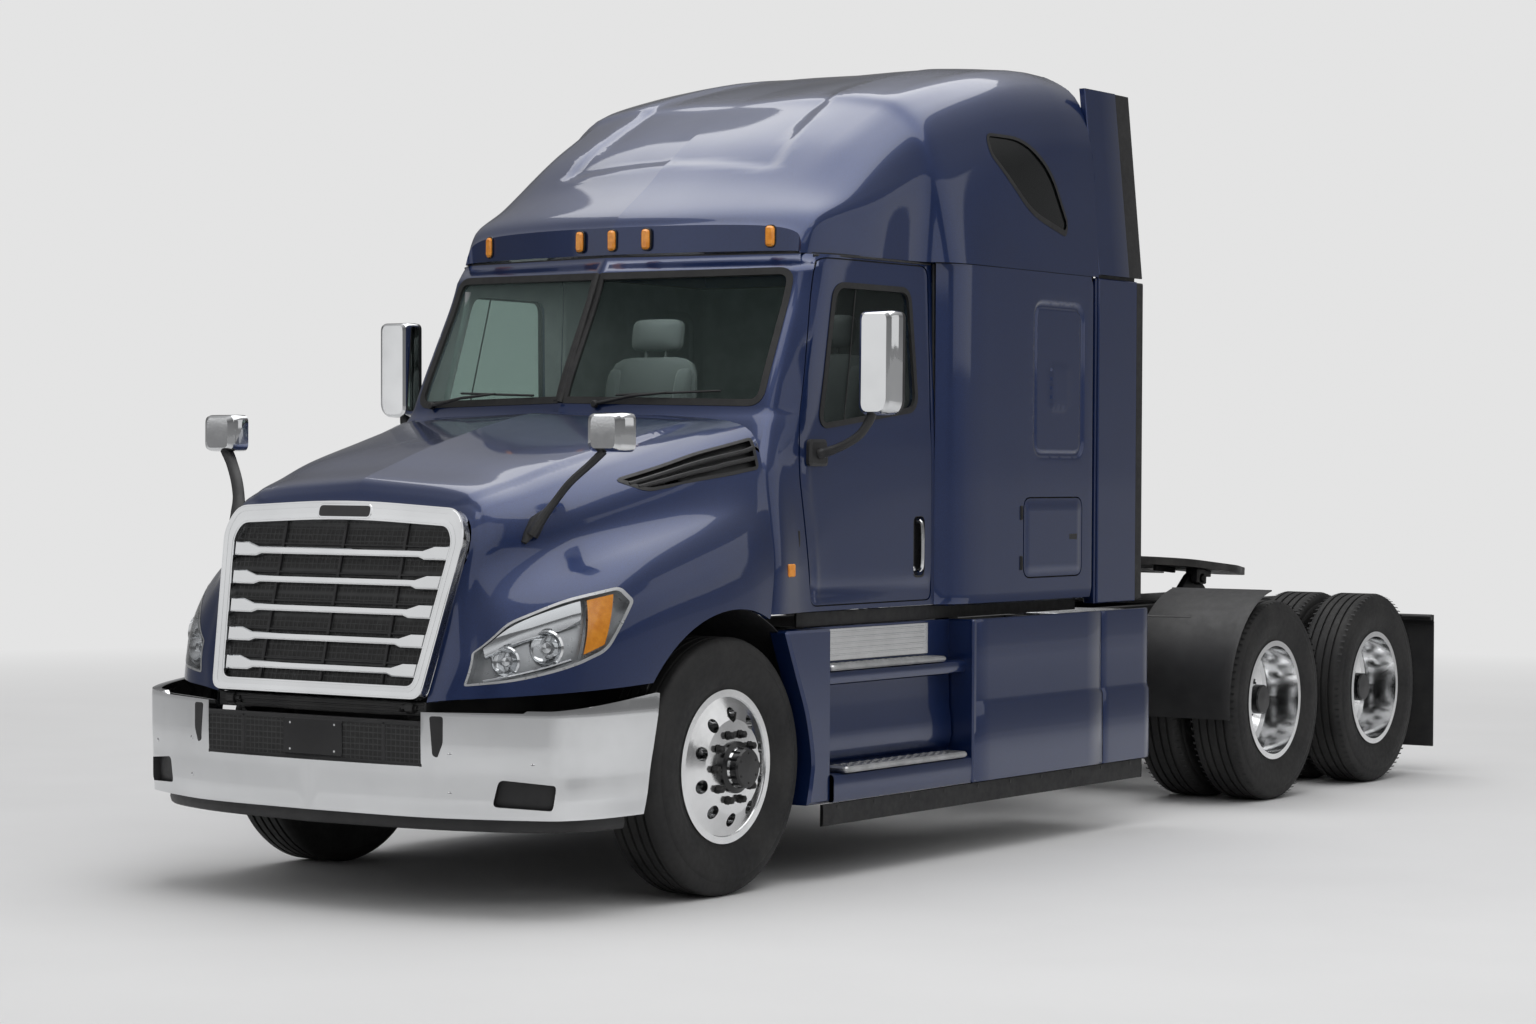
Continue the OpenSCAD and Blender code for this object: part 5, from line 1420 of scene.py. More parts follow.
make(pod, "headlight_housings", "hood", [GLOSS_BLACK, CHROME, LAMP_GREY, AMBER])


# Grille, in its own plane: x across, height up the slope
LEAN = math.atan(0.256)


def on_grille(p):
    x, out, h = p
    h /= math.cos(LEAN)
    return (x, -1240.2 + out * math.cos(LEAN) + h * math.sin(LEAN), 856 + h * math.cos(LEAN) - out * math.sin(LEAN))


frame_outer = fillet([(-563, 2), (563, 2), (655, 664), (600, 762), (0, 794), (-600, 762), (-655, 664)],
                     (50, 50, 60, 70, 400, 70, 60), 6)
frame_inner = fillet([(-512, 52), (512, 52), (590, 630), (556, 690), (0, 716), (-556, 690), (-590, 630)],
                     (36, 36, 50, 50, 400, 50, 50), 6)
surround = Shape()
surround.prism(frame_outer, 1, -43, 0, 0, 0, on_grille, [frame_inner])
rows = [[on_grille((x, d, h)) for x, h in grown(frame_outer, g)] for g,
        d in ((0, -6), (0, -38), (-7, -44), (-26, -43.5))]
surround.grid(rows[::-1], 0, closed=True)
rows = [[on_grille((x, d, h)) for x, h in grown(frame_inner, g)] for g,
        d in ((26, -43.5), (8, -43.9), (0, -38), (-4, -8))]
surround.grid(rows[::-1], 0, closed=True)
badge = fillet([(-148, 708), (148, 708), (148, 772), (-148, 772)], 31, 9)
surround.prism(badge, 1, -46, -30, 4, 0, lambda p: on_grille((p[0], p[1], p[2] + 8 - abs(p[0]) * 0.03)))
badge2 = grown(badge, -8)
surround.prism(badge2, 1, -46.6, -30, 2, 1, lambda p: on_grille((p[0], p[1], p[2] + 8 - abs(p[0]) * 0.03)))
for i in range(5):
    h = 92 + i * 117.0
    wide = 512 + (h - 52) * 0.135 - 4
    low, high = h, h + 38
    bar = [(-wide, low - 4), (-wide + 120, low - 4), (-wide + 150, low + 6), (wide - 150, low + 6),
            (wide - 120, low - 4),
           (wide, low - 4), (wide + 6, high + 14), (wide - 70, high + 14), (wide - 130, high - 4),
           (-wide + 130, high - 4), (-wide + 70, high + 14), (-wide - 6, high + 14)]
    surround.prism(bar, 1, -40, -14, 5, 0, on_grille)
make(surround, "grille_surround", "hood", [CHROME, GLOSS_BLACK, LAMP_GREY], ["grille"])
screen = Shape()
screen.prism([(x * 1.01, h) for x, h in frame_inner], 1, -12, -4, 0, 0, on_grille)
for x in (-330, 0, 330):
    screen.prism([(x - 7, 60), (x + 7, 60), (x + 7, 700), (x - 7, 700)], 1, -24, -8, 3, 1, on_grille)
for i in range(5):
    h = 140 + i * 117.0
    screen.prism([(-560, h), (560, h), (560, h + 8), (-560, h + 8)], 1, -20, -8, 2, 1, on_grille)
make(screen, "grille_screen", "hood", [GRILLE_MESH, PLASTIC])
lugs = Shape()
for side in (1, -1):
    lugs.disc(26, (485 * side, -1235, 830), -20, 20, 28, 0, 2)
    lugs.box((465 * side, -1222, 822), (505 * side, -1200, 900), 4)
lugs.box((-560, -1240, 797), (560, -1202, 855), 5)
for z in (806, 824, 842):
    lugs.box((-552, -1244, z), (552, -1236, z + 7), 3)
make(lugs, "hood_hinge_lugs", "hood", BLACK_STEEL)


# Hood mirrors
def mirror_head(shape, centre, half, corner, mats):
    """A rounded housing whose rear face is the glass."""
    x0, y0, z0 = centre
    rows = []
    for y, scale in ((-half[1], 0.62), (-half[1] * 0.72, 0.86), (-half[1] * 0.30, 0.97), (half[1] * 0.35, 1.0),
                     (half[1] * 0.9, 0.985)):
        ring = []
        for px, pz in fillet([(-half[0], -half[2]), (half[0], -half[2]), (half[0], half[2]), (-half[0], half[2])],
                             corner, 6):
            ring.append((x0 + px * scale, y0 + y, z0 + pz * (scale * 0.5 + 0.5)))
        rows.append(ring)
    shape.grid(rows, mats[0], closed=True)
    shape.add(rows[0], [tuple(range(len(rows[0])))[::-1]], mats[0])
    last = rows[-1]
    rim = [(x0 + (p[0] - x0) * 0.93, p[1] + 4, z0 + (p[2] - z0) * 0.96) for p in last]
    shape.grid([last, rim], mats[1], closed=True)
    sunk = [(x0 + (p[0] - x0) * 0.99, p[1] - 5, z0 + (p[2] - z0) * 0.99) for p in rim]
    shape.grid([rim, sunk], mats[1], closed=True)
    shape.add(sunk, [tuple(range(len(sunk)))], mats[2])


heads = Shape()
mirror_head(heads, (1057, -687, 1938), (98, 50, 80), 34, (0, 1, 2))
curve = [(800, -868, 1520), (830, -842, 1585), (868, -800, 1660), (915, -765, 1735), (985, -722, 1810),
         (1035, -700, 1862)]
heads.tube([spline(curve, k / 5) for k in range(26)], [46, 45, 43, 40, 37, 34, 32, 30, 28, 27, 26, 26, 26, 26, 26, 26,
                                                       26, 26, 26, 26, 26, 27, 27, 28, 28, 28], 12, 1, 0.6)
foot = [(p[0], p[1], p[2]) for p in (hood_at(*hood_near((790, -905, 1490)), 6),
        hood_at(*hood_near((815, -850, 1590)), 8))]
heads.tube([foot[0], mix(foot[0], foot[1], 0.4), foot[1], (845, -822, 1618)], [16, 32, 34, 22], 12, 1, 0.6)
heads.both()
make(heads, "hood_mirror_pair", "hood", [CHROME, PLASTIC, MIRROR], ["hood_mirrors"])


# Door mirrors
def door_mirror(name, body, mirror_x, node):
    piece = Shape()
    x0, y0, z0 = 1367, 855, 2258
    rows = []
    for y, scale in ((-58, 0.70), (-50, 0.86), (-30, 0.97), (0, 1.0), (34, 0.99)):
        ring = fillet([(-84, -228), (98, -228), (98, 228), (-84, 228)], (56, 62, 34, 30), 7)
        ring = [(x0 + (px if pz > -150 else px + (pz + 150) * 0.12) * scale, y0 + y, z0 + pz * (scale * 0.22 + 0.78))
                for px, pz in ring]
        rows.append(ring)
    piece.grid(rows, 0, closed=True)
    piece.add(rows[0], [tuple(range(len(rows[0])))[::-1]], 0)
    back = [(x0 + (p[0] - x0) * 0.99, y0 + 56, z0 + (p[2] - z0) * 0.99) for p in rows[-1]]
    piece.grid([rows[-1], back], 1, closed=True)
    rim = [(x0 + (p[0] - x0) * 0.90, y0 + 56, z0 + (p[2] - z0) * 0.95) for p in back]
    piece.grid([back, rim], 1, closed=True)
    sunk = [(p[0], y0 + 48, p[2]) for p in rim]
    piece.grid([rim, sunk], 1, closed=True)
    piece.add(sunk, [tuple(range(len(sunk)))], 2)
    piece.box((x0 - 70, y0 + 47, z0 - 118), (x0 + 80, y0 + 50, z0 - 112), 1, 1)
    arm = [(1122, 750, 1860), (1165, 762, 1872), (1230, 785, 1900), (1290, 815, 1945), (1325, 840, 2010),
            (1335, 852, 2060)]
    piece.tube([spline(arm, k / 5) for k in range(26)], [30] * 3 + [27] * 4 + [24] * 12 + [26] * 7, 14, 1, 0.8)
    foot = [cab_side(y, z, 0) for y, z in fillet([(668, 1806), (822, 1806), (822, 1925), (688, 1925)], 26, 5)]
    piece.grid([foot, [(p[0] + 18, p[1], p[2]) for p in foot],
                [(p[0] + 26, 745 + (p[1] - 745) * 0.8, 1865 + (p[2] - 1865) * 0.8) for p in foot]], 1, closed=True)
    piece.add([(p[0] + 26, 745 + (p[1] - 745) * 0.8, 1865 + (p[2] - 1865) * 0.8) for p in foot],
              [tuple(range(len(foot)))], 1)
    make(piece, name + "_door_mirror", body, [CHROME, PLASTIC, MIRROR], [node], mirror_x=mirror_x)


door_mirror("left", "left_door", False, "door_mirror_left")
door_mirror("right", "right_door", True, "door_mirror_right")


# ---------------------------------------------------------------- bumper
BUMPER = [(0, -1320), (420, -1306), (635, -1282), (860, -1205), (1020, -1135), (1115, -1085), (1178, -960),
          (1205, -800), (1215, -540)]


def bumper(u, z, out=0.0):
    """u runs along the bumper's plan from its middle (0) to its end (8), z is the height."""
    x, y = rounded(BUMPER, u, (0, 0.3, 0.45, 0.45, 0.45, 0.48, 0.48, 0.4, 0))
    a, b = rounded(BUMPER, min(u + 0.05, 8), (0.4,) * 9), rounded(BUMPER, max(u - 0.05, 0), (0.4,) * 9)
    d = Vector((a[0] - b[0], a[1] - b[1])).normalized()
    back = 5 * step(690, 560, z) + 7 * step(470, 410, z) + 6 * step(815, 880, z)
    if u > 4:
        back += 10 * math.exp(-((z - 640) / 120.0) ** 2) * step(4.5, 5.5, u) * 0.4
    back -= out
    return (x - d.y * back if x > 1 else x, y + d.x * back, z)


def bumper_top(u):
    x, y, _ = bumper(u, 700)
    return 824 if y < -1150 else 834 if y < -1100 else 834 + (y + 1100) * 0.1


BU = 190.0
bumper_outline = []
for k in range(81):
    bumper_outline.append((7.62 * BU * k / 80 * 1.0, 401))
for k in range(1, 12):
    bumper_outline.append(((7.62 + 0.36 * k / 11) * BU, 401 + (884 - 401) * k / 11))
for k in range(1, 81):
    u = 7.98 * (1 - k / 80)
    if u * BU < 574:
        break
    bumper_outline.append((u * BU, bumper_top(u)))
gap_u = solve(lambda u: bumper(u, 700)[0], 1, 2, 575) * BU
bumper_outline = [p for p in bumper_outline if p[1] < 800 or p[0] > gap_u] + [
    (gap_u, 820), (gap_u, 700), (gap_u, 615)] + [(gap_u * (1 - k / 14), 604) for k in range(0, 15)]
slot_u = solve(lambda u: bumper(u, 700)[0], 1, 2, 632) * BU
slot_outline = fillet([(slot_u - 4, 650), (slot_u + 14, 640), (slot_u + 34, 700), (slot_u + 34, 806),
        (slot_u - 16, 806)], 12, 4)
fog_in = solve(lambda u: bumper(u, 700)[0], 2, 4, 868) * BU
fog_out = solve(lambda u: bumper(u, 700)[0], 4, 6, 1096) * BU
fog_outline = fillet([(fog_in, 452), (fog_out - 12, 440), (fog_out + 14, 540), (fog_in + 26, 560)], 24, 5)
bar = Shape()
bar.patch(lambda u, v: bumper(u / BU, v), bumper_outline, [fog_outline], 26, 0)
outward(bar, (0, 0, 640))
rolled = [[bumper(u / BU, v, d) for u, v in bumper_outline] for d in (0, -6, -40)]
rolled = [rolled[0], [tuple(c + e for c, e in zip(p, (0, 0, 3 if q[1] < 610 else -3))) for p, q in
                      zip(rolled[1], bumper_outline)], rolled[2]]
bar.grid(rolled, 0, closed=True)
bar.grid([[bumper(u / BU, v, d) for u, v in fog_outline] for d in (0, -30)], 1, closed=True)
bar.patch(lambda u, v: bumper(u / BU, v, -29), grown(fog_outline, 2), (), 40, 0, 1)
outward(bar, (0, 0, 500))
bar.patch(lambda u, v: bumper(u / BU, v, 1.2), slot_outline, (), 300, 0, 1)
outward(bar, (0, 0, 640))
for x, z in ((700, 655), (700, 500), (1020, 620)):
    u = solve(lambda u: bumper(u, 700)[0], 1, 7, x)
    at = Vector(bumper(u, z, 0))
    ahead = (Vector(bumper(u, z, 1)) - at).normalized()
    side = ahead.cross(Vector((0, 0, 1))).normalized()
    up = side.cross(ahead)
    rows = [[tuple(at + ahead * d + (side * math.cos(t) + up * math.sin(t)) * q)
             for t in [2 * math.pi * k / 14 for k in range(14)]] for q, d in ((9, -1), (9, 0.8), (6, 2.6), (0.001,
                     3.2))]
    bar.grid(rows, 0, closed=True)
bar.both()
make(bar, "chrome_bumper", "chassis", [CHROME, PLASTIC, WHITE_LENS], ["bumper"])

lower = Shape()
lower.box((-580, -1283, 602), (580, -1262, 780), 4, 1)
lower.box((-580, -1286, 760), (580, -1258, 782), 5, 0)
lower.box((-580, -1286, 600), (580, -1258, 618), 5, 0)
for x in (-380, 380):
    lower.box((x - 8, -1286, 610), (x + 8, -1262, 775), 4, 0)
plate = fillet([(-160, 620), (160, 620), (160, 768), (-160, 768)], 12, 4)
lower.prism(plate, 1, -1288, -1276, 3, 2)
for x in (-120, 120):
    for z in (640, 748):
        lower.disc(5, (x, -1288, z), -1.5, 3, 10, 1, 0.5, 3)
skirt_front = [(0, -1290), (600, -1235), (1000, -1098), (1140, -900), (1165, -722)]
rows = []
for z, inset in ((399, 3), (372, 0), (352, 6), (346, 14), (348, 34), (398, 40)):
    row = []
    for k in range(-48, 49):
        x, y = rounded(skirt_front, abs(k) / 12, (0, 0.4, 0.45, 0.4, 0))
        d = Vector((x, y + 300)).normalized()
        row.append(((x - d.x * inset) * (1 if k >= 0 else -1), y - d.y * inset, z))
    rows.append(row)
lower.grid(rows[::-1], 0)
for s in (1, -1):
    lower.box((s * 352, -1260, 622), (s * 420, -1002, 768), 6, 4)
make(lower, "lower_front_trim", "chassis", [PLASTIC, GRILLE_MESH, GLOSS_BLACK, CHROME, BLACK_STEEL],
     ["bumper_insert"])


# ---------------------------------------------------------------- side extenders
panel = Shape()
lower_panel = [(3158, 1134), (3556, 1134), (3556, 2748), (3158, 2748)]
panel.prism(lower_panel, 0, 1170, 1196, 5, 0)
panel.box((1128, 3137, 1134), (1186, 3176, 2748), 2, 0)
for z in (1500, 1900, 2300, 2640):
    panel.prism([(3190, z), (3520, z), (3520, z + 60), (3190, z + 60)], 0, 1159, 1172, 5, 0)
rows = []
for z in (2766, 2900, 3200, 3500, 3694):
    t = (z - 2764) / 930.0
    x = 1201 - 90 * t
    rows.append([(x - d, y, z) for y, d in ((3153, 34), (3151, 6), (3154, 1), (3300, 0), (3460, 0), (3466, 2),
            (3467, 8),
                                            (3466, 32))])
panel.grid(rows, 0, closed=True, caps=True)
panel.both()
outward(panel, (0, 3300, 2400))
make(panel, "side_extender_panels", "chassis", PAINT, ["side_extenders"])
edge = Shape()
edge.prism([(3562, 1142), (3640, 1142), (3640, 2745), (3562, 2745)], 0, 1166, 1188, 8, 0)
rows = []
for z in (2767, 2900, 3200, 3500, 3693):
    t = (z - 2764) / 930.0
    x = 1193 - 88 * t
    rows.append([(x - d, y, z) for y, d in ((3472, 22), (3471, 4), (3475, 0), (3560, 1), (3620, 4), (3629, 8),
            (3627, 20))])
edge.grid(rows, 0, closed=True, caps=True)
strip = []
for z, x in ((239, 1208), (241, 1222), (300, 1224), (334, 1222), (335, 1208)):
    strip.append([(x, y, z) for y in (642, 1200, 1890, 2600, 3200, 3588)])
edge.grid(strip, 0)
edge.box((1207, 642, 239), (1209, 3588, 335), 0.5, 0)
for y in range(760, 3500, 300):
    edge.disc(9, (1222, y, 318), -1, 3, 12, 0, 1, 1)
edge.box((1160, 3178, 2738), (1178, 3560, 2772), 2, 0)
edge.box((1068, 640, 1101), (1080, 3140, 1166), 2, 0)
edge.both()
make(edge, "rubber_edge_strips", "chassis", [RUBBER, BLACK_STEEL], ["rubber_edges"])


# ---------------------------------------------------------------- side fairings and steps
fairing = Shape()
post = [(383, 1098), (370, 1090), (457, 900), (534, 730), (579, 544), (568, 440), (542, 338), (718, 338), (718, 1098)]
post = [post[0]] + [spline(post[1:7], k / 5) for k in range(26)] + post[7:]
fairing.prism(post, 0, 1112, 1214, 12)
fairing.prism([(720, 338), (1892, 338), (1892, 1098), (720, 1098)], 0, 1067, 1103, 2)
for low, high in (((1070, 700, 338), (1200, 722, 1098)), ((1070, 1888, 338), (1238, 1922, 1098))):
    fairing.box(low, high, 8)
rows = []
for x, z in ((1080, 461), (1214, 461), (1226, 455), (1231, 442), (1231, 352), (1224, 339), (1090, 338)):
    rows.append([(x, y, z) for y in (716, 1000, 1300, 1600, 1892)])
fairing.grid(rows, 0)
rows = []
for x, z in ((1080, 909), (1180, 909), (1190, 904), (1194, 894), (1194, 866), (1188, 854), (1080, 852)):
    rows.append([(x, y, z) for y in (716, 1000, 1300, 1600, 1892)])
fairing.grid(rows, 0)
for y0, y1 in ((1893, 3145), (3151, 3637)):
    rows = []
    for z, d in ((338, 14), (340, 4), (352, 1), (500, 0.5), (690, 2), (706, 10), (722, 12), (900, 12), (1085, 12),
                 (1096, 15), (1098, 24)):
        line = [(1239 - d - 3, y0)] + [(1239 - d, y0 + 5)] + [(1240 - d, y0 + (y1 - y0) * k / 8) for k in range(1,
                8)] + [
            (1239 - d, y1 - 5), (1236 - d, y1)]
        rows.append([(x, y, z) for x, y in line])
    fairing.grid(rows[::-1], 0)
    fairing.box((1203, y0, 340), (1208, y1, 1096), 1, 1)
    fairing.box((1203, y0, 1090), (1220, y1, 1098), 2, 0)
    for y in (y0, y1 - 4):
        fairing.box((1204, y, 340), (1224, y + 4, 1092), 1, 0)
fairing.grid([[(1231, y, 334) for y in (3560, 3637)], [(1205, y, 338) for y in (3560, 3637)]], 0)
fairing.both()
make(fairing, "side_fairing_panels", "chassis", [PAINT, PLASTIC], ["side_fairings"])

tread = Shape()
for x0, x1, y0, y1, z0, z1 in ((1128, 1250, 792, 1828, 464, 491), (1114, 1213, 732, 1698, 912, 937)):
    ring = fillet([(x0, y0), (x1, y0), (x1, y1), (x0, y1)], 26, 5)
    tread.prism(ring, 2, z0, z1, 8, 0)
    n = int((y1 - y0 - 120) / 34)
    for k in range(n):
        y = y0 + 62 + k * 34
        for j in range(3):
            x = x0 + 20 + (x1 - x0 - 44) * (j + 0.5 * (k % 2) * 0.6) / 2.3
            tread.turned([(3.2, z1 - 1.5), (8.6, z1 - 0.5), (9.5, z1 + 1.8), (6.6, z1 + 2.6), (5.8, z1 - 0.8)],
                         (x, y, 0), 9, 2, 0)
            tread.disc(6.4, (x, y, z1), -0.6, 0.3, 9, 2, 0, 1)
tread.box((1106, 734, 946), (1111, 1688, 1088), 2, 2)
for k in range(5):
    z = 968 + k * 25
    tread.box((1109, 770, z), (1113, 1652, z + 8), 2, 2)
tread.both()
make(tread, "step_treads", "chassis", [PLAIN_ALLOY, GLOSS_BLACK, ALLOY], ["steps"])
well = Shape()
well.grid([[(x, y, z) for y in (742, 1100, 1500, 1878)] for x,
        z in ((1104, 846), (1110, 840), (1112, 700), (1122, 640),
                                                                     (1126, 560), (1112, 500), (1104, 492))], 0)
well.both()
outward(well, (0, 1300, 700))
make(well, "step_well_lining", "chassis", PAINT)


# ---------------------------------------------------------------- quarter fenders, mud flaps, lights
fender = Shape()
DRIVE_Y = (5167, 6493)
rows = []
a0, a1 = math.radians(100), math.radians(187)
for x, r in ((628, 0), (640, 7), (900, 7.5), (1180, 7.5), (1222, 6), (1234, 1), (1234, 0)):
    rows.append([(x, DRIVE_Y[0] + (607 + r) * math.cos(t), AXLE_Z + (607 + r) * math.sin(t))
                 for t in [a0 + (a1 - a0) * k / 30 for k in range(31)]])
fender.grid(rows, 0)
inside_rows = [[(x, DRIVE_Y[0] + 607 * math.cos(t), AXLE_Z + 607 * math.sin(t))
                for t in [a0 + (a1 - a0) * k / 30 for k in range(31)]] for x in (1234, 900, 628)]
fender.grid(inside_rows, 0)
for t in (a0, a1):
    fender.grid([[(x, DRIVE_Y[0] + r * math.cos(t), AXLE_Z + r * math.sin(t)) for x in (628, 900, 1234)]
                 for r in (607, 614)], 0)
fender.tube([(430, 4767, 990), (520, 4767, 990), (900, 4767, 990)], 17, 12, 1)
fender.box((428, 4740, 960), (442, 4794, 1020), 3, 1)
fender.both()
make(fender, "quarter_fender_pair", "chassis", [PLASTIC, BLACK_STEEL], ["quarter_fenders"])
TAIL = 5830 + 1460
flap = Shape()
flap.box((642, TAIL - 12, 152), (1234, TAIL - 2, 900), 3)
for z in (200, 260, 700, 760):
    flap.box((660, TAIL - 2, z), (1216, TAIL - 1, z + 6), 0.5)
for x in (700, 860, 1020, 1180):
    flap.disc(9, (x, TAIL, 880), -16, -1, 12, 1, 1, 1)
flap.tube([(426, TAIL - 52, 925), (600, TAIL - 52, 925), (1238, TAIL - 52, 925)], 18, 16, 2)
flap.box((405, TAIL - 98, 820), (428, TAIL - 22, 1028), 4, 2)
flap.box((640, TAIL - 20, 880), (1236, TAIL - 10, 940), 4, 2)
flap.both()
for x in (-330, -230, 230, 330):
    flap.prism(fillet([(x - 44, 868), (x + 44, 868), (x + 44, 958), (x - 44, 958)], 12, 4), 1, TAIL - 96, TAIL - 62,
            5, 3)
flap.prism(fillet([(-385, 858), (385, 858), (385, 968), (-385, 968)], 10, 3), 1, TAIL - 100, TAIL - 90, 2, 2)
make(flap, "mud_flap_pair", "chassis", [RUBBER, BLACK_STEEL, BLACK_STEEL, RED], ["mud_flaps"])

deck = Shape()
deck.box((-698, 3702, 1041), (698, 4418, 1051), 2)
deck.box((-698, 3702, 1030), (-694, 4418, 1045), 1)
deck.box((694, 3702, 1030), (698, 4418, 1045), 1)
make(deck, "tread_deck", "chassis", TREAD, ["deck_plate"])


# ---------------------------------------------------------------- fifth wheel
base = Shape()
PLATE_Y = 5830 + 70
base.box((-468, PLATE_Y - 418, 1041), (468, PLATE_Y + 418, 1057), 3)
for s in (1, -1):
    base.prism([(PLATE_Y - 228, 1058), (PLATE_Y - 52, 1190), (PLATE_Y - 24, 1202), (PLATE_Y + 24, 1202),
                (PLATE_Y + 52, 1190), (PLATE_Y + 228, 1058)], 0, 292 * s, 333 * s, 4)
    base.disc(19.5, (318 * s, PLATE_Y, 1170), -27 if s > 0 else -80, 80 if s > 0 else 27, 24, 0, 3, 1)
    for y in (-190, 190):
        base.box((300 * s, PLATE_Y + y - 30, 1056), (420 * s, PLATE_Y + y + 30, 1070), 4)
    for y in (-380, -260, -120, 120, 260, 380):
        base.disc(15, (440 * s, PLATE_Y + y, 1056), 0, 14, 6, 2, 1, 1)
    base.prism([(PLATE_Y - 150, 1058), (PLATE_Y + 150, 1058), (PLATE_Y + 30, 1130), (PLATE_Y - 30, 1130)], 0, 262 * s,
               293 * s, 3)
make(base, "coupling_base", "chassis", [BLACK_STEEL, IRON], ["fifth_wheel_base"])



def on_plate(p):
    """A point of the coupling plate, given about its pivot."""
    x, y, z = p
    c, s = math.cos(math.radians(4.7)), math.sin(math.radians(4.7))
    return (x, PLATE_Y + y * c + z * s, 1170 + z * c - y * s)


plate = Shape()
outline = [(450 * math.cos(math.radians(a)), -170 + 330 * math.sin(math.radians(a))) for a in range(180, 361, 6)]
outline += [(450, 330), (360, 620), (175, 620), (34, 132), (34, 62)] + [(-34, 62), (-34, 132), (-175, 620),
                                                                        (-360, 620), (-450, 330)]
plate.prism(fillet(outline, [2] * 31 + [60, 40, 40, 20, 8, 8, 20, 40, 40, 60], 4), 2, 56, 98, 0, 0, on_plate,
            [ring_points((0, 0), 25.8, 28)])
plate.prism(fillet(outline, [2] * 31 + [60, 40, 40, 20, 8, 8, 20, 40, 40, 60], 4), 2, 94, 99.5, 2.5, 0, on_plate,
            [ring_points((0, 0), 30, 28)])
for s in (1, -1):
    side = Shape().box((343 * s, -58, -28), (389 * s, 58, 57), 6)
    side.box((222 * s, -298, 27), (248 * s, -62, 57), 4)
    side.box((300 * s, -40, 20), (345 * s, 200, 57), 4)
    side.disc(36, (389 * s, 0, 0), -46 if s > 0 else 0, 0 if s > 0 else 46, 24, 0, 4)
    plate.join(side, on_plate)
    for y in (-260, -60, 140):
        slot = Shape().box((150 * s, y, 98.6), (300 * s, y + 8, 99.9), 0.6)
        plate.join(slot, on_plate, 1)
handle = Shape()
handle.tube([(-250, 60, 40), (-430, 64, 42), (-444, 66, 42)], 9, 10)
plate.join(handle, on_plate, 1)
make(plate, "coupling_plate", "fifth_wheel", [GREASED, BLACK_STEEL], ["fifth_wheel_plate"])


# ---------------------------------------------------------------- tyres and hub details
FX, RX = 1042, 1090
STUDS = 142.9
def tyre(shape, cx, cy, steer):
    """One tyre with grooves and a moulded sidewall. cx is its middle plane."""
    w, b, r = 140.0, 311.3, 544.0
    side = [(b, w - 38), (b + 12, w - 33), (b + 20, w - 30), (b + 36, w - 22), (b + 60, w - 13), (b + 66, w - 12.5),
            (b + 90, w - 4), (b + 128, w - 0.8), (b + 134, w - 1.6), (b + 150, w - 1), (r - 62, w - 5), (r - 58,
                    w - 8),
            (r - 40, w - 9), (r - 24, w - 13), (r - 8, w - 26), (r - 2, w - 38)]
    rib = [(r, w - 44)]
    grooves = [-66, -22, 22, 66] if steer else [-72, -26, 26, 72]
    for g in grooves[::-1]:
        rib += [(r - 0.2, g + 7), (r - 11, g + 5), (r - 11, g - 5), (r - 0.2, g - 7)]
    rib += [(r, -w + 44)]
    profile = side + rib + [(a, -c) for a, c in side[::-1]]
    profile += [(b, -w + 55), (b + 40, -w + 44), (b + 120, -w + 24), (r - 60, -w + 26), (r - 30, -w + 52),
            (r - 30, w - 52),
                (r - 60, w - 26), (b + 120, w - 24), (b + 40, w - 44), (b, w - 55)]
    shape.turned(profile, (cx, cy, AXLE_Z), 84, 0, 0)
    # Tread blocks: short cuts at the shoulders, wider, longer and deeper for the drive tyres
    steps = 84
    for k in range(steps):
        t = 2 * math.pi * (k + 0.5) / steps
        c, s = math.cos(t), math.sin(t)
        for side_sign in (-1, 1):
            x = cx + side_sign * (w - 30)
            centre = (x, cy + (r - 9) * c, AXLE_Z + (r - 9) * s)
            wide, long_, deep = (9 if steer else 20), (2.2 if steer else 5.5), (3 if steer else 7)
            verts = []
            for dx, dt, dr in ((-wide, -long_, deep), (wide, -long_, deep - 7), (wide, long_, deep - 7),
                               (-wide, long_, deep)):
                rr = r - 9 + dr
                px = x + dx * side_sign
                verts.append((px, cy + rr * c - dt * s, AXLE_Z + rr * s + dt * c))
            shape.add(verts, [(0, 1, 2, 3) if side_sign > 0 else (3, 2, 1, 0)], 1)


def hub_parts(shape, cx, cy, face, cap_mat, nut_mat):
    """Lug nuts and a hub cap over a rim. face is the disc's distance from cx."""
    for i in range(10):
        t = 2 * math.pi * i / 10
        y, z = cy + STUDS * math.cos(t), AXLE_Z + STUDS * math.sin(t)
        shape.disc(19, (cx, y, z), face, face + 4, 16, 0, 1, nut_mat)
        shape.turned([(16.5, face + 3), (16.5, face + 22), (14, face + 27), (9, face + 30), (0.001, face + 31)],
                     (cx, y, z), 6, 0, nut_mat, False)
    shape.turned([(109.5, 148), (109.5, 171.5), (104, 173.5), (92, 178), (86.5, 181), (84.5, 222), (78, 230),
            (30, 232),
                  (0.001, 232.5)], (cx, cy, AXLE_Z), 40, 0, cap_mat, False)
    for i in range(6):
        t = 2 * math.pi * (i + 0.5) / 6
        shape.disc(5, (cx, cy + 62 * math.cos(t), AXLE_Z + 62 * math.sin(t)), 228, 233, 6, 0, 1, nut_mat)


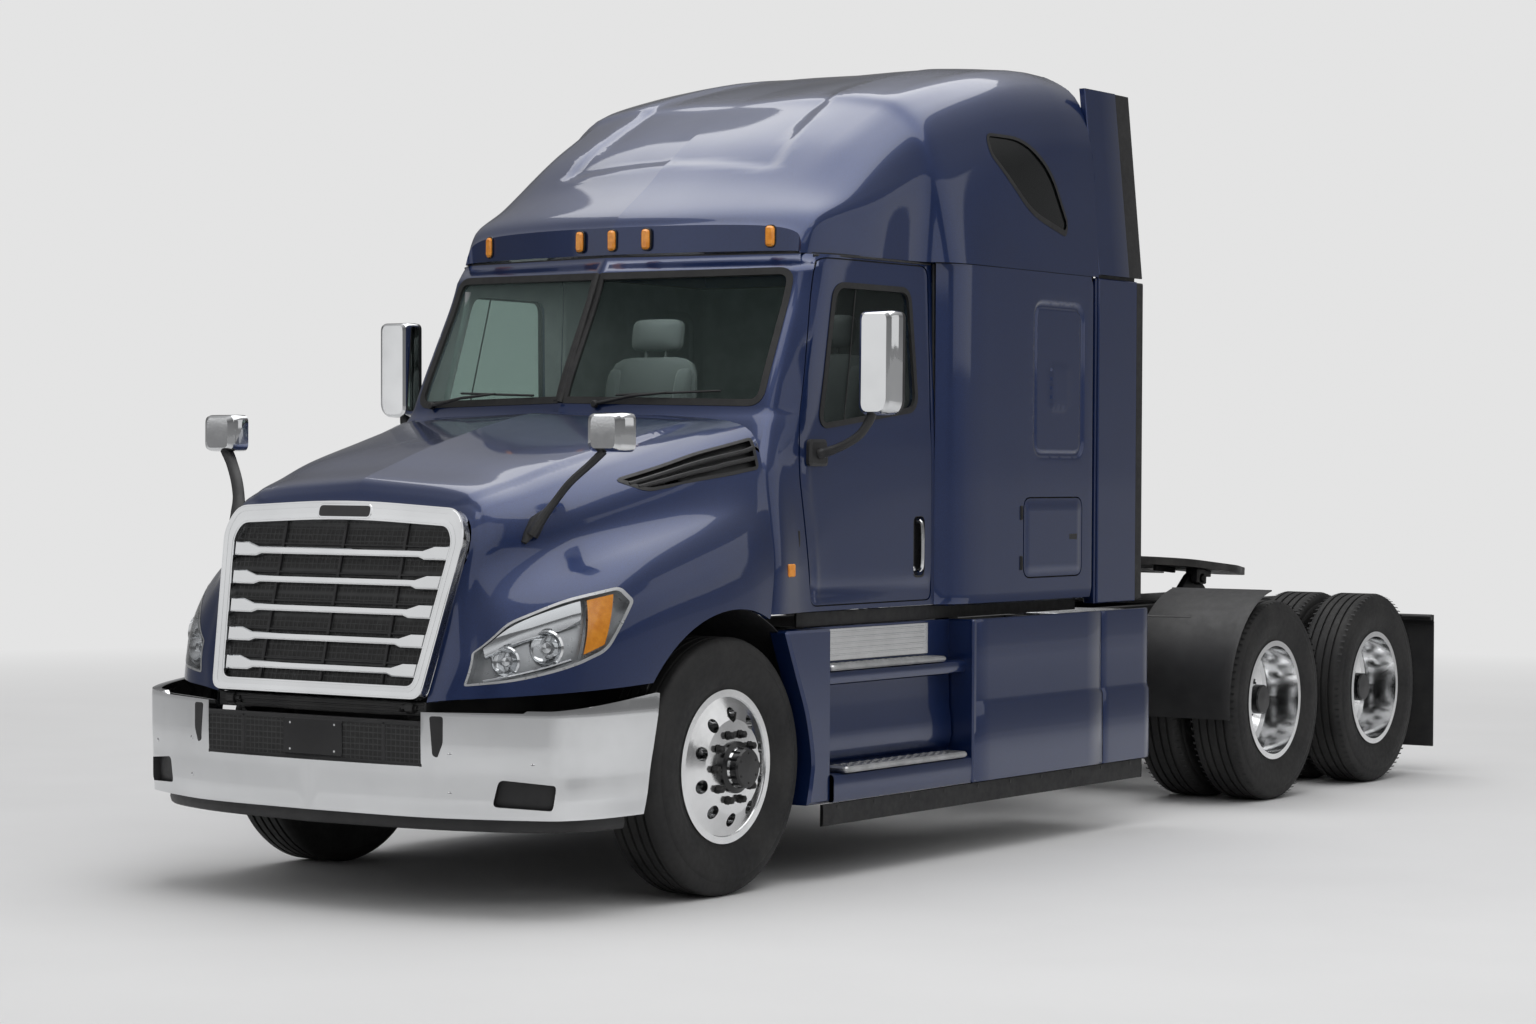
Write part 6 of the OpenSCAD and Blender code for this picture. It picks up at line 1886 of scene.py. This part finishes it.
for side_name, flipped in (("left", False), ("right", True)):
    front = Shape()
    tyre(front, FX, 0, True)
    make(front, f"front_{side_name}_tyre", f"front_wheel_{side_name}", [TYRE, RUBBER],
         [f"front_tyre_{side_name}"], mirror_x=flipped)
    hub = Shape()
    hub_parts(hub, FX, 0, 156, 0, 1)
    hub.tube([(FX + 148, 0, AXLE_Z + 190), (FX + 158, 0, AXLE_Z + 200), (FX + 162, 0, AXLE_Z + 232)], 4.5, 8, 1)
    make(hub, f"front_{side_name}_hub_details", f"front_wheel_{side_name}", [GLOSS_BLACK, BLACK_STEEL],
         mirror_x=flipped)
    for i in (1, 2):
        pair = Shape()
        middle = RX - 343 / 2
        tyre(pair, middle + 171.5, DRIVE_Y[i - 1], False)
        tyre(pair, middle - 171.5, DRIVE_Y[i - 1], False)
        make(pair, f"drive_{side_name}_tyres_{i}", f"drive_wheels_{side_name}_{i}", [TYRE, RUBBER],
             [f"rear_tyres_{side_name}_{i}"], mirror_x=flipped)
        hub = Shape()
        for k in range(10):
            t = 2 * math.pi * k / 10
            y, z = DRIVE_Y[i - 1] + STUDS * math.cos(t), AXLE_Z + STUDS * math.sin(t)
            hub.disc(19, (middle, y, z), 24, 29, 16, 0, 1, 1)
            hub.turned([(16.5, 28), (16.5, 48), (14, 53), (9, 56), (0.001, 57)], (middle, y, z), 6, 0, 1, False)
        hub.turned([(109, 60), (110, 121), (104, 126), (86, 131), (82, 133), (80, 214), (72, 221), (30, 222),
                    (0.001, 223)], (middle, DRIVE_Y[i - 1], AXLE_Z), 40, 0, 0, False)
        for k in range(8):
            t = 2 * math.pi * (k + 0.5) / 8
            hub.disc(7.5, (middle, DRIVE_Y[i - 1] + 96 * math.cos(t), AXLE_Z + 96 * math.sin(t)), 122, 137, 6, 0, 1, 1)
        make(hub, f"drive_{side_name}_hub_details_{i}", f"drive_wheels_{side_name}_{i}",
             [GLOSS_BLACK, BLACK_STEEL], mirror_x=flipped)


# ---------------------------------------------------------------- inside the cab
dash = Shape()
rows = []
for x, shrink in ((-928, 14), (-915, 2), (-600, 0), (-180, 0), (0, 0), (180, 0), (600, 0), (915, 2), (928, 14)):
    outline = fillet([(412, 1502), (412, 1780), (600, 1975), (800, 1990), (900, 1920), (860, 1620), (720, 1462)],
                     (10, 60, 80, 60, 50, 60, 60), 5)
    rows.append([(x, y, z) for y, z in grown(outline, -shrink)])
dash.grid(rows[::-1], 0, closed=True, caps=True)
dash.box((-178, 434, 1215), (178, 698, 1530), 24, 1)
for x0, x1 in ((300, 700), (-160, 160)):
    dash.box((x0, 880, 1752), (x1, 897, 1890), 8, 2)
for i in range(4):
    dash.turned([(34, -4), (38, 6), (34, 9), (30, 7), (0.001, 6)], (350 + i * 92, 890, 1835), 22, 1, 3, False)
for x in (-840, -420, 820):
    dash.box((x - 60, 876, 1830), (x + 60, 900, 1886), 8, 2)
    for k in range(4):
        dash.box((x - 54, 896, 1838 + k * 12), (x + 54, 902, 1843 + k * 12), 1.5, 1)
dash.tube([(500, 1060 - 480 * math.sin(math.radians(35)), 1925 - 480 * math.cos(math.radians(35))),
           (500, 1060 - 200 * math.sin(math.radians(35)), 1925 - 200 * math.cos(math.radians(35))),
           (500, 1060 - 57 * math.sin(math.radians(35)), 1925 - 57 * math.cos(math.radians(35)))], [30, 32, 31], 20, 1)
make(dash, "dashboard_panel", "chassis", [PAINTED_LIGHT_TRIM, DARK_TRIM, GLOSS_BLACK, PLAIN_ALLOY], ["dashboard"])

wheel = Shape()
TILT = math.radians(35)


def on_wheel(p):
    x, y, z = p
    return (500 + x, 1060 + y * math.cos(TILT) + z * math.sin(TILT), 1925 - y * math.sin(TILT) + z * math.cos(TILT))


flat = Shape()
flat.turned([(228 + 15.5 * math.cos(2 * math.pi * k / 14), 15.5 * math.sin(2 * math.pi * k / 14)) for k in range(14)],
            (0, 0, 0), 60, 2, 0)
flat.turned([(0.001, -54), (74, -54), (74, -24), (64, -17), (0.001, -15)], (0, 0, 0), 30, 2, 0, False)
for a in (90, 210, 330):
    c, s = math.cos(math.radians(a)), math.sin(math.radians(a))
    arm = [(66, -18, -44), (66, 18, -44), (66, 18, -32), (66, -18, -32)]
    end = [(216, -12, -6), (216, 12, -6), (216, 12, 2), (216, -12, 2)]
    rows = [[(x * c - y * s, x * s + y * c, z) for x, y, z in ring] for ring in (arm, end)]
    flat.grid(rows, 0, closed=True, caps=True)
wheel.join(flat, on_wheel)
make(wheel, "steering_wheel_rim", "steering", DARK_TRIM, ["steering_wheel"])


def cushion(shape, low, high, at=None, crown=0.16):
    """A stuffed block: a rounded box whose faces swell towards their middles, with a seam around it."""
    c = [(a + b) / 2 for a, b in zip(low, high)]
    h = [(b - a) / 2 for a, b in zip(low, high)]
    n, m = 40, 16
    rows = []
    for j in range(m + 1):
        lat = -math.pi / 2 + math.pi * j / m
        row = []
        for i in range(n):
            lon = 2 * math.pi * i / n
            d = (math.cos(lat) * math.cos(lon), math.cos(lat) * math.sin(lon), math.sin(lat))
            r = (abs(d[0]) ** 6 + abs(d[1]) ** 6 + abs(d[2]) ** 3) ** (-1 / 6.0)
            p = [a * b * min(r, 1.6) for a, b in zip(d, h)]
            p = [max(-b, min(b, a)) for a, b in zip(p, h)]
            fall = 1 - crown * (max(abs(p[0] / h[0]), abs(p[1] / h[1])) ** 4)
            p[2] *= fall
            seam = math.exp(-(p[2] / (h[2] * 0.10)) ** 2) if max(abs(p[0]) / h[0], abs(p[1]) / h[1]) > 0.9 else 0
            p[0] *= 1 - 0.012 * seam
            p[1] *= 1 - 0.012 * seam
            q = (c[0] + p[0], c[1] + p[1], c[2] + p[2])
            row.append(q if at is None else at(q))
        rows.append(row)
    return shape.grid(rows, 0, closed=True)


def seat(name, x, covers):
    frame_part = Shape()
    frame_part.box((x - 235, 1190, 1216), (x + 235, 1625, 1240), 6, 1)
    for k in range(6):
        frame_part.box((x - 205 + k * 4, 1215, 1242 + k * 44), (x + 205 - k * 4, 1600, 1276 + k * 44), 16, 0)
    frame_part.box((x - 245, 1175, 1506), (x + 245, 1635, 1578), 18, 1)
    for s in (-1, 1):
        frame_part.box((x + s * 252 - 12, 1560, 1560), (x + s * 252 + 12, 1660, 1700), 8, 1)
    make(frame_part, name + "_suspension", "chassis", [PLASTIC, BLACK_STEEL], covers)
    soft = Shape()
    cushion(soft, (x - 268, 1132, 1582), (x + 268, 1640, 1742), crown=0.22)
    for s in (-1, 1):
        cushion(soft, (x + s * 215 - 50, 1150, 1600), (x + s * 215 + 50, 1600, 1748), crown=0.3)
    lean = math.atan2(95, 600)

    def back(p):
        dx, dy, dz = p
        return (x + dx, 1655 + dy * math.cos(lean) + dz * math.sin(lean),
                1742 + dz * math.cos(lean) - dy * math.sin(lean))

    def flat_to_back(q):
        return back((q[0], q[2], q[1]))
    cushion(soft, (-262, 2, -62), (262, 600, 58), at=flat_to_back, crown=0.28)
    for s in (-1, 1):
        cushion(soft, (s * 205 - 48, 40, -74), (s * 205 + 48, 540, 30), at=flat_to_back, crown=0.3)
    cushion(soft, (-148, 632, -48), (148, 790, 56), at=flat_to_back, crown=0.3)
    for s in (-1, 1):
        soft.tube([back((s * 60, 4, 590)), back((s * 60, 4, 650))], 7, 8)
    make(soft, name + "_cushions", "chassis", PAINTED_LIGHT_FABRIC)


seat("driver_seat", 500, ["seats"])
seat("passenger_seat", -500, [])
base = Shape()
base.box((-1118, 2264, 1216), (1118, 3062, 1638), 14)
for x in (-740, 0, 740):
    base.box((x - 330, 2258, 1270), (x + 330, 2266, 1600), 5, 1)
make(base, "bunk_box", "chassis", [PAINTED_LIGHT_TRIM, DARK_TRIM], ["bunk"])
mattress = Shape()
cushion(mattress, (-1118, 2244, 1642), (1118, 3062, 1788), crown=0.12)
make(mattress, "bunk_mattress", "chassis", BEDDING)
grab = Shape()
grab.tube([(-905, 640, 2050), (-912, 655, 2120), (-905, 690, 2250), (-895, 735, 2420), (-885, 770, 2560),
           (-880, 770, 2620)], 14, 10)
make(grab, "pillar_grab_handle", "chassis", PAINTED_LIGHT_TRIM)


# ---------------------------------------------------------------- finishes of the CAD pieces that stay
KEPT = {"frame": BLACK_STEEL, "front_axle": IRON, "drive_axles": IRON, "driveline": IRON, "engine": IRON,
        "radiator": PLASTIC, "fuel_tanks": PLAIN_ALLOY, "underbody_boxes": BLACK_STEEL, "knuckle_left": IRON,
        "knuckle_right": IRON, "tie_rod": BLACK_STEEL, "front_rim_left": ALLOY, "front_rim_right": ALLOY,
        "rear_rims_left_1": ALLOY, "rear_rims_right_1": ALLOY, "rear_rims_left_2": ALLOY, "rear_rims_right_2": ALLOY}
for node, material in KEPT.items():
    piece = bpy.data.objects[node]
    piece.data.materials.clear()
    piece.data.materials.append(material)

# ---------------------------------------------------------------- sizes, and the end
low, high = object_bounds()
